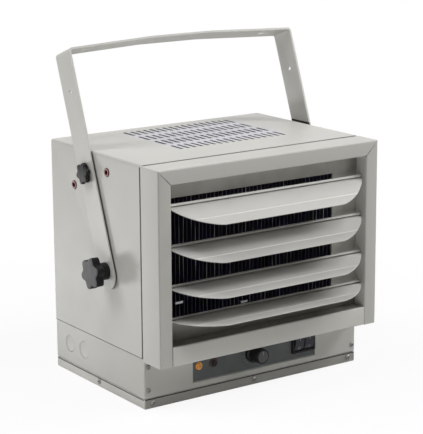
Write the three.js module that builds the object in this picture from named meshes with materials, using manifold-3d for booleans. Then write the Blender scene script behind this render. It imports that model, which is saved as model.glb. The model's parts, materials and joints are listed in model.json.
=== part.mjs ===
// Ceiling mounted fan heater: a sheet-steel housing with a louvered outlet, a wiring base below it
// and a tilting yoke bracket. Millimetres, +Z up, the outlet faces -Y. The origin is the centre of
// the base's underside.
import * as THREE from 'three';
import { mergeVertices } from 'three/addons/utils/BufferGeometryUtils.js';
import Module from 'manifold-3d';

const wasm = await Module();
wasm.setup();

// ---------------------------------------------------------------- driving dimensions

// Shared stock and fits
const sheet = 1.2; // steel sheet of the housing
const seat = 0.3; // gap between pieces that touch
const through = 6; // how far a cutter runs past what it cuts
const roundSteps = 20; // sides of a round piece
const sides = [['left', -1], ['right', 1]];

// Bezel: the deep frame around the outlet
const bezelWidth = 368;
const bezelHeight = 266.5;
const bezelDepth = 42.5;
const stileWidth = 20.2;
const topRailHeight = 20.5;
const bottomRailHeight = 26.7;
const innerReturnDepth = 21.9;

// Casing behind the bezel
const casingDepth = 237;
const casingInset = 1.8; // the casing stands this far inside the bezel on each side
const casingTopRise = 1; // the casing's top stands this much above the bezel
const casingBendRadius = 3;
const sideReveal = 3.5; // shadow gap between the bezel and the side panels
const casingSeam = 2.4; // the side panels start this far above the bezel's lower edge
const rearPanelRecess = 1.3;

// Vent field in the top
const ventCentreX = 14;
const ventRearInset = 96.5; // centre of the vent field to the casing's rear edge
const ventColumns = 17;
const ventRows = 4;
const ventColumnPitch = 11;
const ventRowPitch = 41;
const ventSlotWidth = 5;
const ventSlotLength = 30;

// Base: the wiring box and its bottom cover
const baseHeight = 68.5; // underside to the bezel's lower edge
const lipHeight = 13.6; // front and rear lips of the bottom cover
const sideLipHeight = 12.2;
const lipSeam = 1.4;
const baseSkirtDepth = 9; // how far the base's inner skirt reaches down inside the lips
const baseCornerRadius = 2;

// Baffle pan and heater core
const panSideGap = 3; // between the pan's flanges and the casing
const panDepth = 38;
const outletLeftInset = 34; // the four insets are measured from the bezel's outside
const outletRightInset = 63.4;
const outletSill = 57.5;
const outletHead = 43.5;
const coreOverlap = 7; // the core reaches this far behind the pan's edges, above and below
const finDepth = 22;
const finThickness = 1;
const finPitch = 6.4;
const tubeRadius = 4;
const tubeCount = 3;
const tubeReach = 6; // tube ends past the core's end plates
const endPlateFlange = 12;
const terminalSize = { x: 36, y: 18, z: 60 };
const limitSwitchRadius = 12;
const limitSwitchHeight = 9;
const sideBayGap = 12; // from the core's right end plate to the terminals

// Fan, motor and their carriers
const fanOpeningRadius = 102;
const fanRingRadius = 96;
const fanRingLength = 41;
const fanRingFlange = 16;
const bladeCount = 5;
const bladeTipRadius = 90;
const bladeWidth = 62;
const bladeThickness = 1.6;
const bladePitchAngle = 26;
const hubRadius = 17;
const hubLength = 24;
const shaftRadius = 4;
const shaftLength = 74;
const motorRadius = 38;
const motorLength = 52;
const motorBossRadius = 13;
const motorBossLength = 7;
const motorSetback = 88; // the bracket that carries the motor stands this far before the rear panel
const bracketThickness = 2;
const bracketWidth = 84;
const bracketRise = 36; // the bracket reaches this far above the motor's axis
const bracketFoot = 34;
const hubClearance = 26; // from the motor's boss to the fan's hub
const guardWireRadius = 1.5;
const guardSpokeRadius = 2; // the spokes are of a heavier wire than the rings
const guardRingPitch = 10;
const guardRingSteps = 24;
const guardInnerRadius = 6;
const guardOverlap = 5; // the outer ring lies this far outside the fan opening
const guardSpokes = 6;

// Louvers
const louverChord = 49;
const louverThickness = 1.2;
const louverEndGap = 0.5;
const louverCornerLength = 65.6; // how far each rounded end reaches in along the edge
const louverCornerPower = 1.42; // exponent of the rounded end's superellipse
const louverCrease = 0.64; // place of the crease, as a share of the chord
const louverLipAngle = 6; // the lip beyond the crease turns up by this angle
const hemRadius = 2.6;
const louverPinRadius = 1.8;
const louverPinLength = 4;
const louverRodSetback = 12; // hem axis behind the bezel's front
const louverHead = 50.9; // first hem axis below the bezel's top edge
const louverUpperPitch = 54.8;
const louverMiddlePitch = 54.5;
const louverLowerPitch = 45;
const louverTilts = [32.2, 27.2, 18.7, 8.7]; // how far each louver is tilted down at rest
const louverCornerSteps = 10;

// Yoke bracket
const pivotSetback = 86.7; // pivot to the casing's front edge
const pivotRise = 107.5; // pivot above the bezel's lower edge
const yokeLean = 20; // lean of the arms towards the rear at rest
const yokeWidth = 40;
const yokeThickness = 3;
const armGaps = { left: 1.4, right: 8.9 }; // between an arm and the casing: the bracket sits to the right
const yokeLength = 308; // pivot to the outer corner of the bracket
const yokeRise = 6; // the crosspiece stands this much higher in the middle
const yokeFlat = 100; // flat middle of the crosspiece
const armEndOffset = 6; // centre of the arm's round end below the pivot
const armHoleHeight = 250;
const armHoleRadius = 3.2;
const ceilingSlotInset = 37.6; // slot centre to the outside of the arm
const ceilingSlotLength = 16;
const ceilingSlotWidth = 8;
const lockRadius = 136.5; // pivot to the ring of threaded inserts
const lockStep = 20; // angle between neighbouring inserts
const lockSteps = [0, 1, 2];

// Knobs of the yoke
const lobes = 6;
const lobeDepth = 0.25; // valleys between the lobes, as a share of the radius
const pivotKnobRadius = 22.5;
const pivotKnobHeight = 13;
const pivotKnobTurn = -9; // angle of a lobe at rest
const pivotHubRadius = 12;
const pivotHubHeight = 14;
const pivotBoltRadius = 4.9;
const pivotBoltReach = 7.2; // how far the bolt goes in beyond the casing's side
const lockKnobRadius = 15.5;
const lockKnobHeight = 6.5;
const lockKnobTurn = -29;
const lockHubRadius = 7;
const lockHubHeight = 1.5;
const lockStudRadius = 3.2;
const spacerRadius = 13;

// Threaded inserts, screws and knockouts
const insertFlangeRadius = 6.8;
const insertFlangeThickness = 0.9;
const insertBarrelRadius = 5.9;
const insertBarrelLength = 8;
const insertBore = 3.6;
const screwHeadRadius = 3.6;
const screwHeadHeight = 1.6;
const screwRadius = 1.6;
const screwLength = 6;
const baseScrewInset = 5.8;
const baseScrewLowerRise = 12.6; // lower screws above the cover's lip
const baseScrewUpperDrop = 11.3; // upper screws below the top of the base
const coverScrewInset = 13;
const coverScrewHeight = 8;
const knockoutRadius = 12.5;
const knockoutRearInset = 39.5; // rear knockout's centre to the base's rear edge
const knockoutPitch = 38.5;
const knockoutRise = 30; // knockout centres above the cover's lip

// Control panel in the front of the base
const panelCentreX = 2.5;
const panelWidth = 212;
const panelSill = 9.4; // the opening for the controls starts this far above the cover's lip
const plateMargin = 2; // the control plate laps the opening's edges by this much
const plateThickness = 1.5;
const controlOffset = 1.45; // the controls' line above the middle of the opening
const lampInset = 10.4; // lamp's axis to the left edge of the opening
const lampRadius = 5.6;
const lampHeight = 3;
const lampStemLength = 8;
const bezelLip = 1; // flange of the lamp and of the reset bush round their holes
const resetPitch = 24.1; // lamp to reset button
const pilotDrop = 1.6; // lamp and reset button lie this much lower than the knob
const resetStemLength = 6;
const resetBushRadius = 6.4;
const resetBushHeight = 2.4;
const resetButtonRadius = 4;
const resetButtonHeight = 4;
const resetTravel = 2;
const thermostatOffset = -3.5; // from the middle of the opening
const thermostatSize = { x: 34, y: 28, z: 34 };
const thermostatShaftRadius = 3;
const thermostatShaftLength = 17;
const knobSkirtRadius = 13.5;
const knobGripRadius = 10.6;
const knobHeight = 24;
const knobStandOff = 0.6;
const rockerInset = 22; // middle of the rocker frame to the right edge of the opening
const rockerFrameWidth = 40;
const rockerFrameHeight = 29;
const rockerFrameDepth = 4;
const rockerBodyDepth = 16;
const rockerFrameLip = 1.8;
const rockerWall = 1.2;
const rockerHalfHeight = 11;
const rockerCrown = 4.4; // the rocker's ridge above its axis
const rockerEdge = 2.9; // its two ends above its axis
const rockerKeel = 5; // its underside below its axis
const rockerPivotDepth = 2; // the rockers turn about an axis this far behind the frame's face
const rockerTilt = 12;
const rockerPocketDepth = 10;

// Wiring pieces on the bottom cover
const terminalBlock = { x: 70, y: 30, z: 24, centreX: -110, centreY: 55 };
const terminalBlockWays = 4;
const contactor = { x: 46, y: 52, z: 50, centreX: 70, centreY: 40 };

// ---------------------------------------------------------------- places that follow from them

const bezelHalf = bezelWidth / 2;
const bezelTop = baseHeight + bezelHeight;
const casingFront = -casingDepth / 2;
const casingRear = casingDepth / 2;
const bezelFront = casingFront - bezelDepth;
const casingHalf = bezelHalf - casingInset;
const casingInnerHalf = casingHalf - sheet;
const casingTop = bezelTop + casingTopRise;
const casingBottom = baseHeight + casingSeam;
const outletHalf = bezelHalf - stileWidth;
const returnRear = bezelFront + innerReturnDepth;
const bezelRear = casingFront - seat;
const floorTop = casingBottom - seat;
const rearPanelRear = casingRear - rearPanelRecess;
const rearPanelFront = rearPanelRear - sheet;
const fanHeight = (casingBottom + casingTop) / 2;
const motorSeatY = rearPanelFront - motorSetback;
const ventCentreY = casingRear - ventRearInset;
const pivotY = casingFront + pivotSetback;
const pivotHeight = baseHeight + pivotRise;
const outletLeft = outletLeftInset - bezelHalf;
const outletRight = bezelHalf - outletRightInset;
const outletBottom = baseHeight + outletSill;
const outletTop = bezelTop - outletHead;
const louverHeights = [louverHead, louverUpperPitch, louverMiddlePitch, louverLowerPitch]
  .reduce((heights, drop) => [...heights, (heights.at(-1) ?? bezelTop) - drop], []);
const panFront = returnRear + seat;
const coreFront = panFront + sheet + seat;
const coreRear = coreFront + finDepth;
const coreBottom = outletBottom - coreOverlap;
const coreTop = outletTop + coreOverlap;
const bossRear = motorSeatY + bracketThickness + motorBossLength;
const hubFront = bossRear + hubClearance;
const armInner = { left: casingHalf + armGaps.left, right: casingHalf + armGaps.right };
const armOuter = { left: armInner.left + yokeThickness, right: armInner.right + yokeThickness };
const plateFront = casingFront + sheet + seat;
const plateRear = plateFront + plateThickness;
const baseScrewHeights = [lipHeight + baseScrewLowerRise, floorTop - baseScrewUpperDrop];
const knockoutHeight = lipHeight + knockoutRise;
const knockoutStations = [['front', knockoutPitch], ['rear', 0]]
  .map(([name, ahead]) => [name, casingRear - knockoutRearInset - ahead]);
const [panelLeft, panelRight] = [panelCentreX - panelWidth / 2, panelCentreX + panelWidth / 2];
const panelBottom = lipHeight + panelSill;
const panelTop = floorTop - sheet - seat - plateMargin;
const controlHeight = (panelBottom + panelTop) / 2 + controlOffset;
const pilotHeight = controlHeight - pilotDrop;
const lampX = panelLeft + lampInset;
const resetX = lampX + resetPitch;
const thermostatX = panelCentreX + thermostatOffset;
const rockerX = panelRight - rockerInset;

// ---------------------------------------------------------------- finishes

const finish = (color, roughness, metalness = 0) => () =>
  new THREE.MeshStandardMaterial({ color, roughness, metalness });
const paint = finish(0xc4c3be, 0.45);
const shadedPaint = finish(0xa9a8a3, 0.5);
const darkSteel = finish(0x2b2b30, 0.5, 0.6);
const zincSteel = finish(0xb8bab8, 0.35, 0.9);
const blackPlastic = finish(0x232325, 0.5);
const greyPlastic = finish(0x6d6d6e, 0.55);
const panelFilm = finish(0x484a4a, 0.6);
const amberLens = finish(0xd99a4c, 0.25);
const redPlate = finish(0x8e3038, 0.45, 0.4);
const castAluminium = finish(0xa4a6a8, 0.4, 0.9);
const ceramic = finish(0xd8d2c4, 0.7);
const fibre = finish(0x6e5f4f, 0.8);

// ---------------------------------------------------------------- solids

/** Turns a closed three.js geometry into a solid with its faces pointing out. */
function solidOf(geometry) {
  const bare = geometry.clone();
  for (const name of ['normal', 'uv']) bare.deleteAttribute(name);
  const merged = mergeVertices(bare, 1e-4);
  const vertProperties = Float32Array.from(merged.getAttribute('position').array);
  const corners = Array.from(merged.getIndex().array);
  const triVerts = [];
  for (let i = 0; i < corners.length; i += 3) {
    const [a, b, c] = corners.slice(i, i + 3);
    if (a !== b && b !== c && c !== a) triVerts.push(a, b, c);
  }
  const mesh = { numProp: 3, vertProperties, triVerts: Uint32Array.from(triVerts) };
  const solid = new wasm.Manifold(new wasm.Mesh(mesh));
  if (solid.volume() > 0) return solid;
  mesh.triVerts = Uint32Array.from(triVerts.reverse());
  return new wasm.Manifold(new wasm.Mesh(mesh));
}

/** Turns a solid back into a three.js geometry. */
function geometryOf(solid) {
  const { vertProperties, triVerts } = solid.getMesh();
  const geometry = new THREE.BufferGeometry();
  geometry.setAttribute('position', new THREE.BufferAttribute(Float32Array.from(vertProperties), 3));
  geometry.setIndex(new THREE.BufferAttribute(Uint32Array.from(triVerts), 1));
  geometry.computeVertexNormals();
  return geometry;
}

const joined = (solids) => solids.reduce((whole, next) => whole.add(next));
const cut = (solid, cutters) => cutters.reduce((rest, next) => rest.subtract(next), solid);

/** A box between two limits on each axis. */
function block([x0, x1], [y0, y1], [z0, z1]) {
  const geometry = new THREE.BoxGeometry(x1 - x0, y1 - y0, z1 - z0);
  return solidOf(geometry.translate((x0 + x1) / 2, (y0 + y1) / 2, (z0 + z1) / 2));
}

const span = (centre, size) => [centre - size / 2, centre + size / 2];
const polygon = (points) => new THREE.Shape(points.map(([x, y]) => new THREE.Vector2(x, y)));

/** A rectangle whose four corners are rounded. */
function roundedRectangle([x0, x1], [y0, y1], radius) {
  const shape = new THREE.Shape();
  shape.absarc(x1 - radius, y1 - radius, radius, 0, Math.PI / 2);
  shape.absarc(x0 + radius, y1 - radius, radius, Math.PI / 2, Math.PI);
  shape.absarc(x0 + radius, y0 + radius, radius, Math.PI, 1.5 * Math.PI);
  shape.absarc(x1 - radius, y0 + radius, radius, 1.5 * Math.PI, 2 * Math.PI);
  return shape;
}

function circle(x, y, radius, steps = roundSteps) {
  const turn = (k) => (2 * Math.PI * k) / steps;
  return polygon(Array.from({ length: steps }, (_, k) =>
    [x + radius * Math.cos(turn(k)), y + radius * Math.sin(turn(k))]));
}

/** Extrudes an (x, y) outline along z. */
function alongZ(shape, [z0, z1]) {
  const settings = { depth: z1 - z0, bevelEnabled: false, curveSegments: 4 };
  return solidOf(new THREE.ExtrudeGeometry(shape, settings).translate(0, 0, z0));
}

/** Extrudes an (x, z) outline along y. */
function alongY(shape, [y0, y1]) {
  const settings = { depth: y1 - y0, bevelEnabled: false, curveSegments: 4 };
  return solidOf(new THREE.ExtrudeGeometry(shape, settings).rotateX(Math.PI / 2).translate(0, y1, 0));
}

/** Extrudes a (y, z) outline along x. */
function alongX(shape, [x0, x1]) {
  const settings = { depth: x1 - x0, bevelEnabled: false, curveSegments: 4 };
  const [x, y, z] = [[1, 0, 0], [0, 1, 0], [0, 0, 1]].map((axis) => new THREE.Vector3(...axis));
  const turn = new THREE.Matrix4().makeBasis(y, z, x);
  return solidOf(new THREE.ExtrudeGeometry(shape, settings).applyMatrix4(turn).translate(x0, 0, 0));
}

/** Turns an outline of [radius, height] points about z. */
function turned(points, steps = roundSteps) {
  const profile = points.map(([radius, height]) => new THREE.Vector2(radius, height));
  return solidOf(new THREE.LatheGeometry(profile, steps).rotateX(Math.PI / 2));
}

/** A washer, tube or collar about z. */
function ring(innerRadius, outerRadius, [z0, z1], steps = roundSteps) {
  return turned([[innerRadius, z0], [outerRadius, z0], [outerRadius, z1], [innerRadius, z1],
    [innerRadius, z0]], steps);
}

const model = new THREE.Group();

/** Adds a named piece to a group, its own or the whole model's. */
function piece(name, solid, material, group = model) {
  const mesh = new THREE.Mesh(geometryOf(solid), material());
  mesh.name = name;
  group.add(mesh);
  return mesh;
}

/** A group whose local z points out of the left (-1) or right (1) side of the housing. */
function outOfSide(side, x, y, z, parent = model) {
  const group = new THREE.Group();
  group.position.set(side * x, y, z);
  group.rotation.y = (side * Math.PI) / 2;
  parent.add(group);
  return group;
}

/** A group whose local z points out of the front. */
function outOfFront(x, y, z) {
  const group = new THREE.Group();
  group.position.set(x, y, z);
  group.rotation.x = Math.PI / 2;
  model.add(group);
  return group;
}

const radians = THREE.MathUtils.degToRad;

// ---------------------------------------------------------------- casing

/** Places of the threaded inserts on the housing's sides, as [y, z]. */
const lockPlaces = lockSteps.map((step) => {
  const angle = radians(step * lockStep);
  return [pivotY + lockRadius * Math.sin(angle), pivotHeight + lockRadius * Math.cos(angle)];
});

/** Top and both sides, folded from one sheet. */
function casingWrap() {
  const [half, inner, radius] = [casingHalf, casingInnerHalf, casingBendRadius];
  const bend = casingTop - radius;
  const outline = new THREE.Shape();
  outline.moveTo(half, casingBottom);
  outline.absarc(half - radius, bend, radius, 0, Math.PI / 2);
  outline.absarc(radius - half, bend, radius, Math.PI / 2, Math.PI);
  outline.lineTo(-half, casingBottom);
  outline.lineTo(-inner, casingBottom);
  outline.absarc(radius - half, bend, radius - sheet, Math.PI, Math.PI / 2, true);
  outline.absarc(half - radius, bend, radius - sheet, Math.PI / 2, 0, true);
  outline.lineTo(inner, casingBottom);

  const vents = [];
  for (let column = 0; column < ventColumns; column += 1) {
    const x = ventCentreX + (column - (ventColumns - 1) / 2) * ventColumnPitch;
    for (let row = 0; row < ventRows; row += 1) {
      const y = ventCentreY + (row - (ventRows - 1) / 2) * ventRowPitch;
      vents.push(block(span(x, ventSlotWidth), span(y, ventSlotLength),
        [casingTop - sheet - through, casingTop + through]));
    }
  }
  const across = [-half - through, half + through];
  const reveals = sides.map(([, side]) => block(span(side * half, 2 * radius),
    [casingFront - through, casingFront + sideReveal], [casingBottom - through, bend]));
  const pivotHole = alongX(circle(pivotY, pivotHeight, pivotBoltRadius + seat), across);
  const insertHoles = lockPlaces.map(([y, z]) => alongX(circle(y, z, insertBarrelRadius + seat), across));
  return cut(alongY(outline, [casingFront, casingRear]), [...reveals, pivotHole, ...insertHoles, ...vents]);
}

function rearPanel() {
  const half = casingInnerHalf - seat;
  const outline = roundedRectangle([-half, half], [casingBottom, casingTop - sheet - seat], casingBendRadius);
  outline.holes.push(circle(0, fanHeight, fanOpeningRadius, 2 * roundSteps));
  return alongY(outline, [rearPanelFront, rearPanelRear]);
}

piece('casing_wrap', casingWrap(), paint);
piece('rear_panel', rearPanel(), paint);

// ---------------------------------------------------------------- bezel

/** One upright of the bezel: its face and its outer and inner returns. */
function stile(side) {
  const [outer, inner] = [bezelHalf, outletHalf];
  const outline = polygon([[inner, bezelFront], [outer, bezelFront], [outer, bezelRear],
    [outer - sheet, bezelRear], [outer - sheet, bezelFront + sheet],
    [inner + sheet, bezelFront + sheet], [inner + sheet, returnRear], [inner, returnRear],
  ].map(([x, y]) => [side * x, y]));
  const pinHoles = louverHeights.map((height) => alongX(
    circle(bezelFront + louverRodSetback, height, louverPinRadius + seat, roundSteps / 2),
    span(side * inner, 4 * sheet)));
  return cut(alongZ(outline, [baseHeight, bezelTop]), [mitre(side, 1), ...pinHoles]);
}

/** Cutter that runs along the corner joint and takes away what lies above (1) or below (-1) it. */
function mitre(side, away) {
  const corner = new THREE.Vector2(bezelHalf, bezelTop);
  const run = new THREE.Vector2(stileWidth, topRailHeight);
  const normal = new THREE.Vector2(-run.y, run.x).normalize().multiplyScalar(away);
  const start = corner.clone().addScaledVector(run, -2).addScaledVector(normal, -seat / 2);
  const end = corner.clone().add(run).addScaledVector(normal, -seat / 2);
  const far = normal.clone().multiplyScalar(2 * bezelDepth);
  const corners = [start, end, end.clone().add(far), start.clone().add(far)];
  return alongY(polygon(corners.map(({ x, y }) => [side * x, y])), [bezelFront - through, casingFront]);
}

function topRail() {
  const outline = polygon([[bezelFront, bezelTop], [bezelFront, bezelTop - topRailHeight],
    [returnRear, bezelTop - topRailHeight], [returnRear, bezelTop - topRailHeight + sheet],
    [bezelFront + sheet, bezelTop - topRailHeight + sheet], [bezelFront + sheet, bezelTop - sheet],
    [bezelRear, bezelTop - sheet], [bezelRear, bezelTop]]);
  return cut(alongX(outline, [-bezelHalf, bezelHalf]), sides.map(([, side]) => mitre(side, -1)));
}

function bottomRail() {
  const top = baseHeight + bottomRailHeight;
  const outline = polygon([[bezelFront, baseHeight], [bezelRear, baseHeight],
    [bezelRear, baseHeight + sheet], [bezelFront + sheet, baseHeight + sheet],
    [bezelFront + sheet, top - sheet], [returnRear, top - sheet], [returnRear, top], [bezelFront, top]]);
  return alongX(outline, [-outletHalf + seat, outletHalf - seat]);
}

piece('bezel_top_rail', topRail(), paint);
piece('bezel_bottom_rail', bottomRail(), paint);
for (const [name, side] of sides) piece(`bezel_${name}_stile`, stile(side), paint);

// ---------------------------------------------------------------- baffle pan and heater core

function bafflePan() {
  const half = casingInnerHalf - panSideGap;
  const [bottom, top] = [floorTop + seat, casingTop - sheet - panSideGap];
  const shell = block([-half, half], [panFront, panFront + panDepth], [bottom, top]);
  const hollow = block([sheet - half, half - sheet], [panFront + sheet, panFront + panDepth + through],
    [bottom + sheet, top - sheet]);
  const outlet = block([outletLeft, outletRight], [panFront - through, panFront + through],
    [outletBottom, outletTop]);
  return cut(shell, [hollow, outlet]);
}

const coreLeft = outletLeft - coreOverlap;
const coreRight = outletRight + coreOverlap;
const coreMiddleY = (coreFront + coreRear) / 2;
const tubeHeights = Array.from({ length: tubeCount }, (_, k) =>
  coreBottom + ((k + 0.5) * (coreTop - coreBottom)) / tubeCount);
const finCount = Math.floor((coreRight - coreLeft - 2 * finPitch) / finPitch) + 1;

/** Upright fins with the sheathed heating tubes swaged through them. */
function finPack() {
  const centre = (coreLeft + coreRight) / 2;
  const fins = Array.from({ length: finCount }, (_, k) => {
    const x = centre + (k - (finCount - 1) / 2) * finPitch;
    return block(span(x, finThickness), [coreFront, coreRear], [coreBottom, coreTop]);
  });
  const reach = [coreLeft - sheet - tubeReach, coreRight + sheet + tubeReach];
  const tubes = tubeHeights.map((z) => alongX(circle(coreMiddleY, z, tubeRadius, 6), reach));
  return joined([...fins, ...tubes]);
}

/** End plate of the core: the tubes pass through it and its flange lies against the pan. */
function coreEnd(side) {
  const x = side < 0 ? coreLeft : coreRight;
  const web = [x, x + side * sheet].sort((a, b) => a - b);
  const flange = [x, x + side * endPlateFlange].sort((a, b) => a - b);
  const height = [coreBottom, coreTop];
  const plate = block(web, [coreFront, coreRear], height)
    .add(block(flange, [coreFront, coreFront + sheet], height));
  return cut(plate, tubeHeights.map((z) => alongX(circle(coreMiddleY, z, tubeRadius + seat, 8),
    [web[0] - through, web[1] + through])));
}

const bayLeft = coreRight + sheet + sideBayGap;
const bayCentre = bayLeft + terminalSize.x / 2;

/** Ceramic block where the heating tubes are wired. */
function elementTerminals() {
  const body = block([bayLeft, bayLeft + terminalSize.x], [coreFront, coreFront + terminalSize.y],
    span((coreBottom + coreTop) / 2, terminalSize.z));
  const grooves = tubeHeights.map((_, k) => {
    const z = (coreBottom + coreTop) / 2 + ((k - (tubeCount - 1) / 2) * terminalSize.z) / tubeCount;
    return block([bayLeft - through, bayLeft + terminalSize.x + through],
      [coreFront + terminalSize.y / 2, coreFront + terminalSize.y + through],
      span(z, terminalSize.z / (2 * tubeCount)));
  });
  return cut(body, grooves);
}

piece('baffle_pan', bafflePan(), shadedPaint);
piece('fin_pack', finPack(), darkSteel);
for (const [name, side] of sides) piece(`core_end_${name}`, coreEnd(side), zincSteel);
piece('element_terminals', elementTerminals(), ceramic);

/** Snap-disc switch that cuts the heat when the bay beside the core gets too hot. */
const limitSwitchPlace = new THREE.Group();
limitSwitchPlace.position.set(bayCentre, coreFront, coreTop - limitSwitchRadius);
limitSwitchPlace.rotation.x = -Math.PI / 2;
model.add(limitSwitchPlace);
piece('limit_switch', turned([[0, 0], [limitSwitchRadius, 0], [limitSwitchRadius, limitSwitchHeight / 2],
  [limitSwitchRadius * 0.7, limitSwitchHeight / 2], [limitSwitchRadius * 0.7, limitSwitchHeight],
  [0, limitSwitchHeight]]), blackPlastic, limitSwitchPlace);

// ---------------------------------------------------------------- fan and motor

/** A group on the fan's axis whose local z points to the rear. */
function onFanAxis(y) {
  const group = new THREE.Group();
  group.position.set(0, y, fanHeight);
  group.rotation.x = -Math.PI / 2;
  model.add(group);
  return group;
}

/** Inlet ring: a tube around the blades with a flange against the rear panel. */
function fanRing() {
  const [inner, outer] = [fanRingRadius, fanRingRadius + sheet];
  return turned([[inner, -fanRingLength], [outer, -fanRingLength], [outer, -sheet],
    [inner + fanRingFlange, -sheet], [inner + fanRingFlange, 0], [inner, 0], [inner, -fanRingLength]],
  2 * roundSteps);
}

/** Hub with its blades, each a flat plate set at the pitch angle. */
function fanBlade() {
  const outline = new THREE.Shape();
  const root = hubRadius * 0.6;
  outline.moveTo(root, -bladeWidth / 5);
  outline.quadraticCurveTo(bladeTipRadius * 0.6, -bladeWidth / 2, bladeTipRadius, -bladeWidth / 4);
  outline.quadraticCurveTo(bladeTipRadius * 1.02, bladeWidth / 4, bladeTipRadius * 0.8, bladeWidth / 2);
  outline.quadraticCurveTo(bladeTipRadius * 0.45, bladeWidth / 2, root, bladeWidth / 5);
  const plate = new THREE.ExtrudeGeometry(outline,
    { depth: bladeThickness, bevelEnabled: false, curveSegments: 4 });
  plate.translate(0, 0, -bladeThickness / 2).rotateX(radians(bladePitchAngle));
  const blades = Array.from({ length: bladeCount }, (_, k) =>
    solidOf(plate.clone().rotateZ((2 * Math.PI * k) / bladeCount).translate(0, 0, hubLength / 2)));
  const hub = turned([[0, 0], [hubRadius, 0], [hubRadius, hubLength], [0, hubLength]]);
  const bore = turned([[0, -through], [shaftRadius + seat, -through], [shaftRadius + seat, hubLength * 0.9],
    [0, hubLength * 0.9]], roundSteps / 2);
  return cut(joined([hub, ...blades]), [bore]);
}

/** Motor can with a stepped rear boss; its bore takes the shaft. */
function motorBody() {
  const bossEnd = bracketThickness + motorBossLength;
  const bore = shaftRadius + seat;
  return turned([[0, -motorLength], [motorRadius * 0.7, -motorLength], [motorRadius, -motorLength * 0.85],
    [motorRadius, -seat], [motorBossRadius, -seat], [motorBossRadius, bossEnd], [bore, bossEnd],
    [bore, -motorLength / 2], [0, -motorLength / 2]]);
}

/** Upright plate with a foot on the floor: it carries the motor. */
function motorBracket() {
  const outline = polygon([[-bracketWidth / 2, floorTop + seat], [bracketWidth / 2, floorTop + seat],
    [bracketWidth / 2, fanHeight + bracketRise], [-bracketWidth / 2, fanHeight + bracketRise]]);
  outline.holes.push(circle(0, fanHeight, motorBossRadius + seat));
  const web = alongY(outline, [motorSeatY, motorSeatY + bracketThickness]);
  return web.add(block([-bracketWidth / 2, bracketWidth / 2], [motorSeatY, motorSeatY + bracketFoot],
    [floorTop + seat, floorTop + seat + bracketThickness]));
}

/** Flat wire guard: rings crossed by spokes. */
function rearGuard() {
  const outerRadius = fanOpeningRadius + guardOverlap;
  const ringGaps = Math.round((outerRadius - guardInnerRadius) / guardRingPitch);
  const rings = Array.from({ length: ringGaps + 1 }, (_, k) => {
    const radius = guardInnerRadius + ((outerRadius - guardInnerRadius) * k) / ringGaps;
    return solidOf(new THREE.TorusGeometry(radius, guardWireRadius, 4, guardRingSteps));
  });
  const spoke = new THREE.CylinderGeometry(guardSpokeRadius, guardSpokeRadius,
    outerRadius - guardInnerRadius, 5).translate(0, (outerRadius + guardInnerRadius) / 2, 0);
  const spokes = Array.from({ length: guardSpokes }, (_, k) =>
    solidOf(spoke.clone().rotateZ((2 * Math.PI * k) / guardSpokes + Math.PI / guardRingSteps)));
  return joined([...rings, ...spokes]);
}

piece('fan_ring', fanRing(), zincSteel, onFanAxis(rearPanelFront - seat));
piece('fan_blade', fanBlade(), castAluminium, onFanAxis(hubFront));
piece('motor_shaft', turned([[0, 0], [shaftRadius, 0], [shaftRadius, shaftLength], [0, shaftLength]],
  roundSteps / 2), zincSteel, onFanAxis(hubFront + hubLength * 0.9 - seat - shaftLength));
piece('motor', motorBody(), darkSteel, onFanAxis(motorSeatY));
piece('motor_bracket', motorBracket(), zincSteel);
piece('rear_guard', rearGuard(), darkSteel, onFanAxis(rearPanelRear + seat + guardSpokeRadius));

// ---------------------------------------------------------------- louvers

/** A louver in its own frame: the hem's axis is x, and the plate runs towards -y. */
function louver() {
  const half = outletHalf - louverEndGap;
  const [crease, lip] = [louverChord * louverCrease, louverChord * (1 - louverCrease)];
  const rise = radians(louverLipAngle);
  const [tipY, tipZ] = [-crease - lip * Math.cos(rise), lip * Math.sin(rise)];
  const [under, over] = [-louverThickness / 2, louverThickness / 2];
  const section = polygon([[0, under], [0, over], [-crease, over], [tipY, tipZ + over],
    [tipY, tipZ + under], [-crease, under]]);
  const corner = Array.from({ length: louverCornerSteps + 1 }, (_, k) => {
    const angle = (k / louverCornerSteps) * (Math.PI / 2);
    const inward = louverCornerLength * (1 - Math.sin(angle) ** (2 / louverCornerPower));
    return [half - inward, -louverChord * Math.cos(angle) ** (2 / louverCornerPower)];
  });
  const plan = polygon([...corner, [half, through], [-half, through],
    ...corner.map(([x, y]) => [-x, y]).reverse()]);
  const plate = alongX(section, [-half, half]).intersect(alongZ(plan, [-louverChord, louverChord]));
  const hem = alongX(circle(0, 0, hemRadius, 12), [-half, half]);
  const pinReach = half + louverPinLength;
  const pin = alongX(circle(0, 0, louverPinRadius, roundSteps / 2), [-pinReach, pinReach]);
  return joined([plate, hem, pin]);
}

louverHeights.forEach((height, k) => {
  const mesh = piece(`louver_${k + 1}`, louver(), paint);
  mesh.position.set(0, bezelFront + louverRodSetback, height);
  mesh.rotation.x = radians(louverTilts[k]);
});

// ---------------------------------------------------------------- base

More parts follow.
